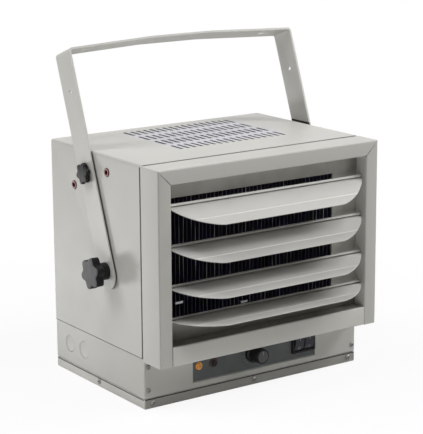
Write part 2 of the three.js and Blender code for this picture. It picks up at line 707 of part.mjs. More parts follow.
/** Four walls of the wiring box, with a joggled skirt that goes down inside the cover's lips. */
function baseBox() {
  const rim = casingInnerHalf - seat;
  const [ledgeBottom, skirtBottom] = [lipHeight + lipSeam, lipHeight - baseSkirtDepth];
  const wall = (half, y, z) => block([-half, half], [-y, y], z);
  const outer = alongZ(roundedRectangle([-casingHalf, casingHalf], [casingFront, casingRear],
    baseCornerRadius), [ledgeBottom, floorTop]);
  const skirt = wall(rim, casingRear - sheet - seat, [skirtBottom, ledgeBottom + sheet]);
  const upperHollow = wall(casingInnerHalf, casingRear - sheet, [ledgeBottom + sheet, floorTop + through]);
  const lowerHollow = wall(rim - sheet, casingRear - 2 * sheet - seat,
    [skirtBottom - through, ledgeBottom + 2 * sheet]);
  const panel = block([panelLeft, panelRight], span(casingFront, 4 * sheet), [panelBottom, panelTop]);
  const knockouts = knockoutStations.map(([, y]) =>
    alongX(circle(y, knockoutHeight, knockoutRadius), span(-casingHalf, 4 * sheet)));
  const screws = screwPlaces.map(screwHole);
  return cut(outer.add(skirt), [upperHollow, lowerHollow, panel, ...knockouts, ...screws]);
}

/** Tray with upturned lips that closes the base from below. */
function bottomCover() {
  const tray = alongZ(roundedRectangle([-casingHalf, casingHalf], [casingFront, casingRear],
    baseCornerRadius), [0, lipHeight]);
  const hollow = block([-casingInnerHalf, casingInnerHalf], [casingFront + sheet, casingRear - sheet],
    [sheet, lipHeight + through]);
  const sideCuts = sides.map(([, side]) => block(span(side * casingHalf, 4 * sheet),
    [casingFront + 2 * sheet, casingRear - 2 * sheet], [sideLipHeight, lipHeight + through]));
  return cut(tray, [hollow, ...sideCuts, ...screwPlaces.map(screwHole)]);
}

/** Screws of the base: name, place on the wall's outer face, and the way the head points. */
const screwPlaces = [
  ...sides.flatMap(([name, side]) => baseScrewHeights.map((z, k) => ({
    name: `base_screw_${name}_${k + 1}`,
    x: side * (casingHalf - baseScrewInset),
    y: casingFront,
    z,
    side: 0,
  }))),
  ...[-1, 0, 1].map((k) => ({
    name: `cover_screw_front_${k + 2}`,
    x: k * (casingHalf - coverScrewInset),
    y: casingFront,
    z: coverScrewHeight,
    side: 0,
  })),
  ...sides.map(([name, side]) =>
    ({ name: `cover_screw_${name}`, x: side * casingHalf, y: 0, z: coverScrewHeight, side })),
];

function screwHole({ x, y, z, side }) {
  const depth = 2 * screwLength;
  return side === 0
    ? alongY(circle(x, z, screwRadius + seat, roundSteps / 2), span(y, depth))
    : alongX(circle(y, z, screwRadius + seat, roundSteps / 2), span(x, depth));
}

const screwSolid = () => turned([[0, -screwLength], [screwRadius, -screwLength], [screwRadius, seat],
  [screwHeadRadius, seat], [screwHeadRadius, seat + screwHeadHeight / 2],
  [screwHeadRadius * 0.6, seat + screwHeadHeight], [0, seat + screwHeadHeight]], roundSteps / 2);

/** Divider between the warm casing and the wiring base. */
function dividerFloor() {
  const half = casingInnerHalf - seat;
  const depth = casingRear - sheet - seat;
  return block([-half, half], [-depth, depth], [floorTop - sheet, floorTop]);
}

piece('base_box', baseBox(), paint);
piece('bottom_cover', bottomCover(), paint);
piece('divider_floor', dividerFloor(), zincSteel);
for (const place of screwPlaces) {
  const group = place.side === 0
    ? outOfFront(place.x, place.y, place.z)
    : outOfSide(place.side, Math.abs(place.x), place.y, place.z);
  piece(place.name, screwSolid(), paint, group);
}
for (const [name, y] of knockoutStations) {
  piece(`knockout_${name}`, ring(0, knockoutRadius - seat, [-sheet, 0]), paint,
    outOfSide(-1, casingHalf, y, knockoutHeight));
}

// ---------------------------------------------------------------- control panel

const rockerPocketWidth = (rockerFrameWidth - 2 * rockerFrameLip - 3 * rockerWall) / 2;
const rockerCentres = sides.map(([name, side]) =>
  [name, rockerX + (side * (rockerWall + rockerPocketWidth)) / 2]);

function controlPlate() {
  const [left, right] = [panelLeft - plateMargin, panelRight + plateMargin];
  const outline = polygon([[left, panelBottom - plateMargin], [right, panelBottom - plateMargin],
    [right, panelTop + plateMargin], [left, panelTop + plateMargin]]);
  const frameHole = [rockerFrameWidth, rockerFrameHeight].map((size) => size - 2 * rockerFrameLip + 2 * seat);
  const [x0, x1] = span(rockerX, frameHole[0]);
  const [z0, z1] = span(controlHeight, frameHole[1]);
  outline.holes.push(circle(lampX, pilotHeight, lampRadius - bezelLip + seat),
    circle(resetX, pilotHeight, resetBushRadius - bezelLip + seat),
    circle(thermostatX, controlHeight, thermostatShaftRadius + bezelLip),
    polygon([[x0, z0], [x0, z1], [x1, z1], [x1, z0]]));
  return alongY(outline, [plateFront, plateRear]);
}

/** Thermostat: its box behind the plate and the shaft that comes through it. */
function thermostatBody() {
  const front = plateRear + seat;
  const shaftFront = plateFront - thermostatShaftLength;
  const body = block(span(thermostatX, thermostatSize.x), [front, front + thermostatSize.y],
    span(controlHeight, thermostatSize.z));
  return body.add(alongY(circle(thermostatX, controlHeight, thermostatShaftRadius, 12),
    [shaftFront, front + through]));
}

/** Knob with a skirt and a slightly tapered grip; its blind bore takes the shaft. */
function thermostatKnob() {
  const bore = thermostatShaftRadius + seat;
  const boreDepth = thermostatShaftLength - knobStandOff + seat;
  const skirt = knobHeight * 0.2;
  return turned([[0, boreDepth], [bore, boreDepth], [bore, 0], [knobSkirtRadius, 0],
    [knobSkirtRadius, skirt], [knobGripRadius + 0.6, skirt * 1.6], [knobGripRadius, knobHeight - 1],
    [knobGripRadius - 1, knobHeight], [0, knobHeight]], 28);
}

/** Amber pilot lamp: a domed lens with a stem through the plate. */
function indicatorLamp() {
  const dome = [0, 1, 2, 3, 4].map((k) => {
    const angle = (k / 4) * (Math.PI / 2);
    return [lampRadius * Math.cos(angle), seat + lampHeight * (0.3 + 0.7 * Math.sin(angle))];
  });
  const [stem, end] = [lampRadius - bezelLip, -plateThickness - lampStemLength];
  return turned([[0, end], [stem, end], [stem, seat], [lampRadius, seat], ...dome]);
}

function resetBush() {
  const [bore, stem] = [resetButtonRadius + seat, resetBushRadius - bezelLip];
  const end = -plateThickness - resetStemLength;
  return turned([[bore, end], [stem, end], [stem, seat], [resetBushRadius, seat],
    [resetBushRadius, resetBushHeight * 0.7], [stem, resetBushHeight], [bore, resetBushHeight], [bore, end]]);
}

function resetButton() {
  const end = resetTravel - plateThickness - resetStemLength;
  return turned([[0, end], [resetButtonRadius, end], [resetButtonRadius, resetButtonHeight * 0.8],
    [resetButtonRadius * 0.8, resetButtonHeight], [0, resetButtonHeight]]);
}

/** Frame of the two rocker switches, in its own frame: x across, y up, z out of the plate. */
function rockerHousing() {
  const [width, height] = [rockerFrameWidth - 2 * rockerFrameLip, rockerFrameHeight - 2 * rockerFrameLip];
  const flange = block(span(0, rockerFrameWidth), span(0, rockerFrameHeight), [seat, rockerFrameDepth]);
  const body = block(span(0, width), span(0, height), [-rockerBodyDepth, 2 * seat]);
  const pocketHeight = 2 * (rockerHalfHeight + 2 * seat);
  const pocketBottom = rockerFrameDepth - rockerPocketDepth;
  const pockets = rockerCentres.map(([, x]) => block(span(x - rockerX, rockerPocketWidth),
    span(0, pocketHeight), [pocketBottom, rockerFrameDepth + through]));
  return cut(flange.add(body), pockets);
}

/** One rocker about its own axis, x; it rests tipped to its off side. */
function rocker() {
  const end = Math.sqrt(rockerHalfHeight ** 2 - rockerEdge ** 2);
  const section = polygon([[end, rockerEdge], [0, rockerCrown], [-end, rockerEdge],
    [-end, -rockerKeel / 5], [0, -rockerKeel], [end, -rockerKeel / 5]]);
  return alongX(section, span(0, rockerPocketWidth - 2 * seat));
}

piece('control_plate', controlPlate(), panelFilm);
piece('thermostat_body', thermostatBody(), greyPlastic);
piece('thermostat_knob', thermostatKnob(), blackPlastic,
  outOfFront(thermostatX, plateFront - knobStandOff, controlHeight));
piece('indicator_lamp', indicatorLamp(), amberLens, outOfFront(lampX, plateFront, pilotHeight));
piece('reset_bush', resetBush(), blackPlastic, outOfFront(resetX, plateFront, pilotHeight));
piece('reset_button', resetButton(), blackPlastic, outOfFront(resetX, plateFront, pilotHeight));
piece('rocker_housing', rockerHousing(), blackPlastic, outOfFront(rockerX, plateFront, controlHeight));
for (const [name, x] of rockerCentres) {
  const place = outOfFront(x, plateFront - rockerFrameDepth + rockerPivotDepth, controlHeight);
  const mesh = piece(`rocker_${name}`, rocker(), blackPlastic, place);
  mesh.rotation.x = radians(rockerTilt);
}

// ---------------------------------------------------------------- wiring pieces in the base

/** Supply terminal block with a groove between its ways. */
function supplyTerminals() {
  const { x, y, z, centreX, centreY } = terminalBlock;
  const bottom = sheet + seat;
  const body = block(span(centreX, x), span(centreY, y), [bottom, bottom + z]);
  const pitch = x / terminalBlockWays;
  const wells = Array.from({ length: terminalBlockWays }, (_, k) =>
    block(span(centreX + (k - (terminalBlockWays - 1) / 2) * pitch, pitch * 0.6),
      [centreY - y, centreY + y], [bottom + z * 0.6, bottom + z + through]));
  return cut(body, wells);
}

/** Switching relay of the heating tubes, a stepped block. */
function heatContactor() {
  const { x, y, z, centreX, centreY } = contactor;
  const bottom = sheet + seat;
  const lower = block(span(centreX, x), span(centreY, y), [bottom, bottom + z * 0.6]);
  return lower.add(block(span(centreX, x), span(centreY, y * 0.6), [bottom, bottom + z]));
}

piece('terminal_block', supplyTerminals(), greyPlastic);
piece('contactor', heatContactor(), blackPlastic);

// ---------------------------------------------------------------- yoke bracket

/** Bent strip in its own frame: the pivot is the origin, z runs up the arms. */
function yokeStrip() {
  const rim = (left, right, top) => [[-left, top], [-yokeFlat / 2, top + yokeRise],
    [yokeFlat / 2, top + yokeRise], [right, top]];
  const foot = -yokeWidth;
  const outline = polygon([[-armOuter.left, foot], ...rim(armOuter.left, armOuter.right, yokeLength),
    [armOuter.right, foot], [armInner.right, foot],
    ...rim(armInner.left, armInner.right, yokeLength - yokeThickness).reverse(), [-armInner.left, foot]]);
  const strip = alongY(outline, span(0, yokeWidth));

  const half = yokeWidth / 2;
  const armOutline = new THREE.Shape();
  armOutline.absarc(0, -armEndOffset, half, Math.PI, 2 * Math.PI);
  armOutline.lineTo(half, yokeLength + 2 * yokeRise);
  armOutline.lineTo(-half, yokeLength + 2 * yokeRise);
  const reach = [-armOuter.left - through, armOuter.right + through];
  const hole = (z, radius) => alongX(circle(0, z, radius), reach);
  const slots = sides.map(([name, side]) => block(
    span(side * (armOuter[name] - ceilingSlotInset), ceilingSlotLength),
    span(0, ceilingSlotWidth), [yokeLength - yokeWidth, yokeLength + yokeWidth]));
  return cut(strip.intersect(alongX(armOutline, reach)), [hole(0, pivotBoltRadius + seat),
    hole(lockRadius, lockStudRadius + seat), hole(armHoleHeight, armHoleRadius), ...slots]);
}

/** Hand knob with rounded lobes on a plain hub; its stud points inwards. */
function handKnob(radius, height, turn, hubSize, hubHeight, studRadius, studLength) {
  const steps = 8 * lobes;
  const outline = polygon(Array.from({ length: steps }, (_, k) => {
    const angle = (2 * Math.PI * k) / steps;
    const reach = radius * (1 - (lobeDepth / 2) * (1 - Math.cos(lobes * (angle - radians(turn)))));
    return [reach * Math.cos(angle), reach * Math.sin(angle)];
  }));
  const head = alongZ(outline, [hubHeight, hubHeight + height]);
  const stem = turned([[0, -studLength], [studRadius, -studLength], [studRadius, seat], [hubSize, seat],
    [hubSize, hubHeight + height / 2], [0, hubHeight + height / 2]]);
  return head.add(stem);
}

const yoke = new THREE.Group();
yoke.position.set(0, pivotY, pivotHeight);
yoke.rotation.x = -radians(yokeLean);
model.add(yoke);
piece('yoke_bracket', yokeStrip(), paint, yoke);

for (const [name, side] of sides) {
  const boltLength = armOuter[name] - casingHalf + pivotBoltReach;
  piece(`pivot_spacer_${name}`, ring(pivotBoltRadius + seat, spacerRadius,
    [seat, armGaps[name] - seat]), fibre, outOfSide(side, casingHalf, pivotY, pivotHeight));
  piece(`pivot_knob_${name}`, handKnob(pivotKnobRadius, pivotKnobHeight, pivotKnobTurn, pivotHubRadius,
    pivotHubHeight, pivotBoltRadius, boltLength), blackPlastic,
  outOfSide(side, armOuter[name], pivotY, pivotHeight));
  piece(`lock_knob_${name}`, handKnob(lockKnobRadius, lockKnobHeight, lockKnobTurn, lockHubRadius,
    lockHubHeight, lockStudRadius, yokeThickness - seat), blackPlastic,
  outOfSide(side, armOuter[name], 0, lockRadius, yoke));
  lockPlaces.forEach(([y, z], k) => {
    const flangeTop = seat + insertFlangeThickness;
    const insert = turned([[insertBore, -insertBarrelLength], [insertBarrelRadius, -insertBarrelLength],
      [insertBarrelRadius, seat], [insertFlangeRadius, seat], [insertFlangeRadius, flangeTop],
      [insertBore, flangeTop], [insertBore, -insertBarrelLength]], 14);
    piece(`lock_insert_${name}_${k + 1}`, insert, redPlate, outOfSide(side, casingHalf, y, z));
  });
}

export default model;
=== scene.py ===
"""Looks of a ceiling mounted fan heater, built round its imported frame.

The heater is folded sheet steel with a pale powder coat: a casing, a deep bezel with four louvers, a
wiring base with a control panel, and a yoke bracket with hand knobs. Lengths in this file are in
millimetres unless a name or comment says otherwise. The outlet faces -Y and +Z is up.
"""

import json
import logging
import math
from collections.abc import Callable, Sequence
from dataclasses import dataclass, field, replace
from enum import Enum

import bmesh
import bpy
import numpy as np
from mathutils import Matrix, Vector


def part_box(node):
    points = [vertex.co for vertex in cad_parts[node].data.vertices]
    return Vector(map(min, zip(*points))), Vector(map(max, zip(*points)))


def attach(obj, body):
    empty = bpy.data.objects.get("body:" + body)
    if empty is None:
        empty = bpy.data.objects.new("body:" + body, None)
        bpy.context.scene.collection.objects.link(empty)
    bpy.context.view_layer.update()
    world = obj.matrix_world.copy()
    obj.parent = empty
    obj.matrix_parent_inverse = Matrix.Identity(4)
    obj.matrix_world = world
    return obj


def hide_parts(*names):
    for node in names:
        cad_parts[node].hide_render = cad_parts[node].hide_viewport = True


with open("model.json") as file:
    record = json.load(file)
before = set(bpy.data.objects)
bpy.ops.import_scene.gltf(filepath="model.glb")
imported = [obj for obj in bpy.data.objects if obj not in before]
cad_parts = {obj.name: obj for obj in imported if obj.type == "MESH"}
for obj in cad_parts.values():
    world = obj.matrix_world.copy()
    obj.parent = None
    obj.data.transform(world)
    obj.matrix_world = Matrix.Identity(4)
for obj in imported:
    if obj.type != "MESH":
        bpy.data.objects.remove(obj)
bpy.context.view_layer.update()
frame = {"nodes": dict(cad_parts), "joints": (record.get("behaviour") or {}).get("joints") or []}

Array = np.ndarray
Piece = bpy.types.Object
Tree = bpy.types.NodeTree
Socket = bpy.types.NodeSocket
MM = 0.001
TURN = 2 * math.pi
EDGE_ANGLE = 32.0  # degrees; an edge that turns by less stays as it is
CLEAR = 5.0  # how far a cutter stands past what it cuts
log = logging.getLogger("fan_heater")


class Axis(Enum):
    """The three axes of the part."""

    X = 0
    Y = 1
    Z = 2


class Side(Enum):
    """Left and right side of the housing, with the sign of X there."""

    LEFT = -1
    RIGHT = 1

    @property
    def word(self) -> str:
        """The side as the frame's names write it."""
        return self.name.lower()


# ---------------------------------------------------------------- extents read from the frame


@dataclass(frozen=True)
class Extent:
    """Box round one piece of the frame, in millimetres."""

    low: Array
    high: Array

    @classmethod
    def of(cls, node: str) -> "Extent":
        """Reads the box of a node of the frame.

        Args:
            node: the node's name.

        Returns:
            The extent at rest.
        """
        low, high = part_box(node)
        return cls(np.array(low) / MM, np.array(high) / MM)

    @property
    def centre(self) -> Array:
        """Middle of the box."""
        return (self.low + self.high) / 2

    @property
    def size(self) -> Array:
        """Lengths of the box's edges."""
        return self.high - self.low


def joint_place(name: str) -> Array:
    """Finds where a joint's axis lies.

    Args:
        name: the joint's name in the frame.

    Returns:
        A point on the axis, in millimetres.
    """
    joint = next(entry for entry in frame["joints"] if entry["name"] == name)
    return np.array(joint["pos_m"]) / MM


# ---------------------------------------------------------------- surfaces


@dataclass
class Shape:
    """Points in millimetres and the faces between them."""

    points: Array
    faces: list[list[int]]

    @classmethod
    def grid(cls, points: Array, ring_rows: bool = False, ring_columns: bool = False,
             cap_rows: bool = False) -> "Shape":
        """Lays quads over a grid: face (i, j) joins the points (i, j), (i, j+1), (i+1, j+1), (i+1, j).

        Args:
            points: rows by columns by 3.
            ring_rows: the last row joins the first.
            ring_columns: the last column joins the first.
            cap_rows: one face closes the first row, and one the last row.

        Returns:
            The surface.
        """
        index = np.arange(points.shape[0] * points.shape[1]).reshape(points.shape[:2])
        caps = [index[0, ::-1].tolist(), index[-1].tolist()] if cap_rows else []
        if ring_rows:
            index = np.vstack([index, index[:1]])
        if ring_columns:
            index = np.hstack([index, index[:, :1]])
        quads = np.stack([index[:-1, :-1], index[:-1, 1:], index[1:, 1:], index[1:, :-1]], axis=-1)
        return cls(points.reshape(-1, 3), quads.reshape(-1, 4).tolist() + caps)

    @classmethod
    def joined(cls, shapes: Sequence["Shape"]) -> "Shape":
        """Gathers several shapes into one.

        Args:
            shapes: the shapes.

        Returns:
            One shape with all their points and faces.
        """
        starts = np.cumsum([0] + [len(shape.points) for shape in shapes])
        faces = [[start + corner for corner in face]
                 for shape, start in zip(shapes, starts.tolist()) for face in shape.faces]
        return cls(np.vstack([shape.points for shape in shapes]), faces)

    def placed(self, matrix: Matrix) -> "Shape":
        """Moves the points by a 4 by 4 matrix, in millimetres."""
        turn = np.array(matrix)
        return Shape(self.points @ turn[:3, :3].T + turn[:3, 3], self.faces)


def unit(vectors: Array) -> Array:
    """Scales each vector to length 1."""
    return vectors / np.maximum(np.linalg.norm(vectors, axis=-1, keepdims=True), 1e-12)


def eased(corners: Sequence[Sequence[float]] | Array, setback: float | Sequence[float], steps: int = 5,
          ring: bool = False) -> Array:
    """Rounds the corners of an outline.

    Each corner B becomes the parabola (1-t)^2 A + 2t(1-t) B + t^2 C, where A and C lie the setback
    away from B on the two lines that meet there.

    Args:
        corners: the outline's corners, n by 2.
        setback: one length for all corners, or one for each.
        steps: points on each rounded corner.
        ring: the outline closes on itself.

    Returns:
        The rounded outline.
    """
    corners = np.asarray(corners, float)
    reach = np.broadcast_to(np.asarray(setback, float), len(corners))[:, None]
    start = corners + unit(np.roll(corners, 1, axis=0) - corners) * reach
    end = corners + unit(np.roll(corners, -1, axis=0) - corners) * reach
    t = np.linspace(0, 1, steps)[:, None, None]
    curve = ((1 - t) ** 2 * start + 2 * t * (1 - t) * corners + t**2 * end).transpose(1, 0, 2)
    if ring:
        return curve.reshape(-1, 2)
    return np.vstack([corners[:1], curve[1:-1].reshape(-1, 2), corners[-1:]])


def spread(axis: Axis, flat: Array, along: Array | float) -> Array:
    """Adds the coordinate along an axis to points that lie across it."""
    return np.insert(flat, axis.value, along, axis=-1)


def prism(outline: Array, axis: Axis, start: float, end: float) -> Shape:
    """A closed outline carried straight along an axis."""
    return Shape.grid(np.stack([spread(axis, outline, start), spread(axis, outline, end)]),
                      ring_columns=True, cap_rows=True)


def bent_sheet(path: Array, wall: float, axis: Axis, low: Callable[[Array], Array],
               high: Callable[[Array], Array]) -> Shape:
    """A folded sheet: the wall lies half on each side of the path and runs along the axis.

    Args:
        path: the fold line seen along the axis, n by 2.
        wall: the sheet's thickness.
        axis: the direction in which the sheet is as wide as its blank.
        low: where the sheet starts along the axis, for points of the section.
        high: where it ends.

    Returns:
        A closed solid with four corners at each point of the path.
    """
    step = np.gradient(path, axis=0)
    normal = unit(np.stack([step[:, 1], -step[:, 0]], axis=-1))
    outer, inner = path + normal * wall / 2, path - normal * wall / 2
    corners = [(outer, low), (outer, high), (inner, high), (inner, low)]
    points = np.stack([spread(axis, flat, end(flat)) for flat, end in corners], axis=1)
    return Shape.grid(points, ring_columns=True, cap_rows=True)


def fixed(value: float) -> Callable[[Array], Array]:
    """An end of a sheet that is cut square."""
    return lambda flat: np.full(len(flat), float(value))


def box(low: Sequence[float], high: Sequence[float]) -> Shape:
    """A block between two corners."""
    (x0, y0, z0), (x1, y1, z1) = low, high
    return prism(np.array([(x0, y0), (x1, y0), (x1, y1), (x0, y1)], float), Axis.Z, z0, z1)


def circle(centre: Sequence[float], radius: float, steps: int = 40) -> Array:
    """Points (cx + r cos a, cy + r sin a) for equal steps of a."""
    angle = np.arange(steps) * TURN / steps
    return np.stack([centre[0] + radius * np.cos(angle), centre[1] + radius * np.sin(angle)], axis=-1)


def half_circles(length: float, width: float, steps: int) -> Array:
    """Outline of a slot with round ends that lies along its first coordinate.

    One end is ((l - w) / 2 + w / 2 cos a, w / 2 sin a) for a from -90 to 90 degrees, and the other
    is the same with both signs changed.

    Args:
        length: from end to end.
        width: across.
        steps: points on each end.

    Returns:
        The outline round the origin, n by 2.
    """
    angle = np.linspace(-math.pi / 2, math.pi / 2, steps)
    end = np.stack([np.cos(angle), np.sin(angle)], axis=-1) * width / 2 + [(length - width) / 2, 0]
    return np.vstack([end, -end])


def about_z(radius: Array, height: Array, angle: Array) -> Array:
    """Points about Z: x = r cos a, y = r sin a, z = h, for columns r and h and a row of angles a."""
    return np.stack([radius * np.cos(angle), radius * np.sin(angle), height + 0 * angle], axis=-1)


def turned(profile: Array, steps: int = 64, ring: bool = False) -> Shape:
    """Turns a profile of (radius, height) once about Z."""
    points = about_z(profile[:, :1], profile[:, 1:], np.arange(steps) * TURN / steps)
    return Shape.grid(points, ring_columns=True, ring_rows=ring)


def wire(path: Array, radius: float, sides: int = 10, ring: bool = False) -> Shape:
    """Carries a circle along a path in space.

    At each point the circle stands on two directions square to the path: one is made from the
    path's direction and a fixed reference, the other is their cross product.

    Args:
        path: n by 3 points.
        radius: the wire's radius.
        sides: points round the wire.
        ring: the path closes on itself.

    Returns:
        The wire, closed at its ends.
    """
    ahead = np.roll(path, -1, axis=0) - np.roll(path, 1, axis=0) if ring else np.gradient(path, axis=0)
    ahead = unit(ahead)
    reference = np.array([0.31, 0.17, 0.94]) if not ring else np.cross(ahead[0], ahead[len(ahead) // 4])
    across = unit(np.cross(ahead, reference))
    up = np.cross(across, ahead)
    angle = (np.arange(sides) * TURN / sides)[None, :, None]
    points = path[:, None] + radius * (np.cos(angle) * across[:, None] + np.sin(angle) * up[:, None])
    return Shape.grid(points, ring_rows=ring, ring_columns=True, cap_rows=not ring)


def swung(joint: str, degrees: float) -> Matrix:
    """Turn about X at the place of a joint."""
    return (Matrix.Translation(Vector(joint_place(joint)))
            @ Matrix.Rotation(math.radians(degrees), 4, "X"))


def facing(place: Sequence[float], axis: Axis, sign: int, spin: float = 0.0) -> Matrix:
    """Matrix that takes a shape made about Z to a place, with its Z along an axis of the part.

    Args:
        place: where the shape's origin goes.
        axis: the axis that the shape's Z follows.
        sign: 1 to point along the axis, -1 against it.
        spin: turn about the shape's own Z before it is placed, in radians.

    Returns:
        The matrix, in millimetres.
    """
    out = np.eye(3)[axis.value] * sign
    up = np.array([0, 0, 1.0]) if axis is not Axis.Z else np.array([0, 1.0, 0])
    across = np.cross(up, out)
    basis = Matrix(np.stack([across, up, out], axis=1).tolist()).to_4x4()
    return Matrix.Translation(Vector(place)) @ basis @ Matrix.Rotation(spin, 4, "Z")


# ---------------------------------------------------------------- objects


def new_object(name: str, shape: Shape) -> Piece:
    """Makes a mesh object of a shape, with doubles merged and faces pointing out.

    Args:
        name: the object's name.
        shape: its points and faces.

    Returns:
        The object, linked to the scene.
    """
    mesh = bpy.data.meshes.new(name)
    mesh.from_pydata((shape.points * MM).tolist(), [], shape.faces)
    work = bmesh.new()
    work.from_mesh(mesh)
    bmesh.ops.remove_doubles(work, verts=work.verts, dist=0.002 * MM)
    bmesh.ops.recalc_face_normals(work, faces=work.faces)
    work.to_mesh(mesh)
    work.free()
    made = bpy.data.objects.new(name, mesh)
    bpy.context.scene.collection.objects.link(made)
    return made


def settle(piece: Piece) -> None:
    """Applies a piece's modifiers to its mesh.

    Args:
        piece: the piece.
    """
    graph = bpy.context.evaluated_depsgraph_get()
    mesh = bpy.data.meshes.new_from_object(piece.evaluated_get(graph))
    piece.modifiers.clear()
    piece.data = mesh


def move(piece: Piece, matrix: Matrix) -> None:
    """Moves a piece's mesh by a matrix in millimetres.

    Args:
        piece: the piece.
        matrix: where its mesh goes.
    """
    in_metres = matrix.copy()
    in_metres.translation *= MM
    piece.data.transform(in_metres)


def carve(piece: Piece, tool: Shape) -> None:
    """Cuts a shape out of a piece.

    Args:
        piece: the piece.
        tool: what is cut away.
    """
    cutter = new_object("cutter", tool)
    cut = piece.modifiers.new("cut", "BOOLEAN")
    cut.object = cutter
    cut.solver = "EXACT"
    settle(piece)
    bpy.data.objects.remove(cutter)


def thicken(piece: Piece, wall: float) -> None:
    """Gives an open surface its wall, half on each side.

    Args:
        piece: the open surface.
        wall: the wall's thickness.
    """
    skin = piece.modifiers.new("wall", "SOLIDIFY")
    skin.thickness = wall * MM
    skin.offset = 0
    settle(piece)


def smooth(piece: Piece, limit: float = 30.0) -> None:
    """Shades a piece smooth, apart from edges sharper than the limit in degrees."""
    piece.data.shade_smooth()
    piece.data.set_sharp_from_angle(angle=math.radians(limit))


def soften(piece: Piece, width: float, segments: int = 2, weld: bool = False) -> None:
    """Rounds a piece's edges, as tumbling, folding or paint does.

    Args:
        piece: the piece.
        width: how far the rounding reaches from each edge.
        segments: faces across each rounded edge.
        weld: the mesh is loose triangles, which are joined first.
    """
    if weld:
        join = piece.modifiers.new("weld", "WELD")
        join.merge_threshold = 0.001 * MM
    else:
        piece.data.shade_smooth()
    edge = piece.modifiers.new("edges", "BEVEL")
    edge.width = width * MM
    edge.segments = segments
    edge.limit_method = "ANGLE"
    edge.angle_limit = math.radians(EDGE_ANGLE)
    edge.harden_normals = not weld


# ---------------------------------------------------------------- materials


def linear(code: str) -> tuple[float, float, float, float]:
    """Turns an sRGB hex colour into linear light, with alpha 1.

    Args:
        code: the colour, such as #a0b0c0.

    Returns:
        Red, green, blue and alpha.
    """
    value = np.array([int(code[start:start + 2], 16) for start in (1, 3, 5)]) / 255
    light = np.where(value <= 0.04045, value / 12.92, ((value + 0.055) / 1.055) ** 2.4)
    return (*light.tolist(), 1.0)


def add_node(tree: Tree, kind: str, settings: dict | None = None,
             inputs: dict | None = None) -> bpy.types.Node:
    """Adds a shader node.

    Args:
        tree: the node tree.
        kind: the node's type name after its common start.
        settings: properties of the node.
        inputs: socket name or number to a value, or to the socket that feeds it, or to a node that
            feeds it by the first of its outputs in use.

    Returns:
        The node.
    """
    node = tree.nodes.new(f"ShaderNode{kind}")
    for name, value in (settings or {}).items():
        setattr(node, name, value)
    for key, value in (inputs or {}).items():
        if isinstance(value, bpy.types.Node):
            value = next(output for output in value.outputs if output.enabled)
        if isinstance(value, Socket):
            tree.links.new(value, node.inputs[key])
        else:
            node.inputs[key].default_value = value
    return node


def per_metre(size: float) -> float:
    """Texture scale at which one cell of a pattern is this many millimetres."""
    return 1 / (size * MM)


@dataclass(frozen=True)
class Finish:
    """A surface finish: a base colour broken up by a soft mottle, and a fine relief."""

    name: str
    colour: str
    shade: str  # colour of the mottle's darker patches
    roughness: float
    roughness_spread: float = 0.06
    metallic: float = 0.0
    specular: float = 0.5
    mottle: float = 60.0  # size of the patches
    mottle_range: tuple[float, float] = (0.35, 0.65)  # noise values of the two shades
    grain: float = 1.5  # size of the relief's bumps, drawn no finer than 0.4 so that they show
    relief: float = 0.02  # height of the relief
    sockets: tuple[tuple[str, float], ...] = ()  # further values of the shader

    def build(self) -> bpy.types.Material:
        """Makes the material, once for each name.

        Returns:
            The material.
        """
        if self.name in bpy.data.materials:
            return bpy.data.materials[self.name]
        material = bpy.data.materials.new(self.name)
        material.use_nodes = True
        tree = material.node_tree
        tree.nodes.clear()
        place = add_node(tree, "TexCoord").outputs["Object"]
        shader = add_node(tree, "BsdfPrincipled", inputs={
            "Base Color": self.tint(tree, place), "Roughness": self.polish(tree, place),
            "Metallic": self.metallic, "Specular IOR Level": self.specular,
            "Normal": self.bumps(tree, place), **dict(self.sockets)})
        add_node(tree, "OutputMaterial", inputs={"Surface": shader})
        return material

    def tint(self, tree: Tree, place: Socket) -> bpy.types.Node:
        """Colour: the two shades mixed by a slow noise.

        Args:
            tree: the material's node tree.
            place: the point on the object.

        Returns:
            The node whose first output in use gives it.
        """
        patches = add_node(tree, "TexNoise", inputs={
            "Vector": place, "Scale": per_metre(self.mottle), "Detail": 3.0})
        ramp = add_node(tree, "MapRange", inputs={
            "Value": patches, "From Min": self.mottle_range[0], "From Max": self.mottle_range[1]})
        return add_node(tree, "Mix", {"data_type": "RGBA"}, {
            "Factor": ramp, "A": linear(self.shade), "B": linear(self.colour)})

    def polish(self, tree: Tree, place: Socket) -> bpy.types.Node:
        """Roughness: varies a little over the surface, as handled metal does.

        Args:
            tree: the material's node tree.
            place: the point on the object.

        Returns:
            The node whose first output in use gives it.
        """
        wear = add_node(tree, "TexNoise", inputs={
            "Vector": place, "Scale": per_metre(self.mottle / 2), "Detail": 4.0})
        return add_node(tree, "MapRange", inputs={
            "Value": wear, "To Min": self.roughness - self.roughness_spread,
            "To Max": self.roughness + self.roughness_spread})

    def bumps(self, tree: Tree, place: Socket) -> bpy.types.Node:
        """Relief: a fine noise at the grain's size.

        Args:
            tree: the material's node tree.
            place: the point on the object.

        Returns:
            The node whose first output in use gives it.
        """
        fine = add_node(tree, "TexNoise", inputs={
            "Vector": place, "Scale": per_metre(self.grain), "Detail": 2.0})
        return add_node(tree, "Bump", inputs={
            "Height": fine, "Distance": self.relief * MM, "Strength": 1.0})


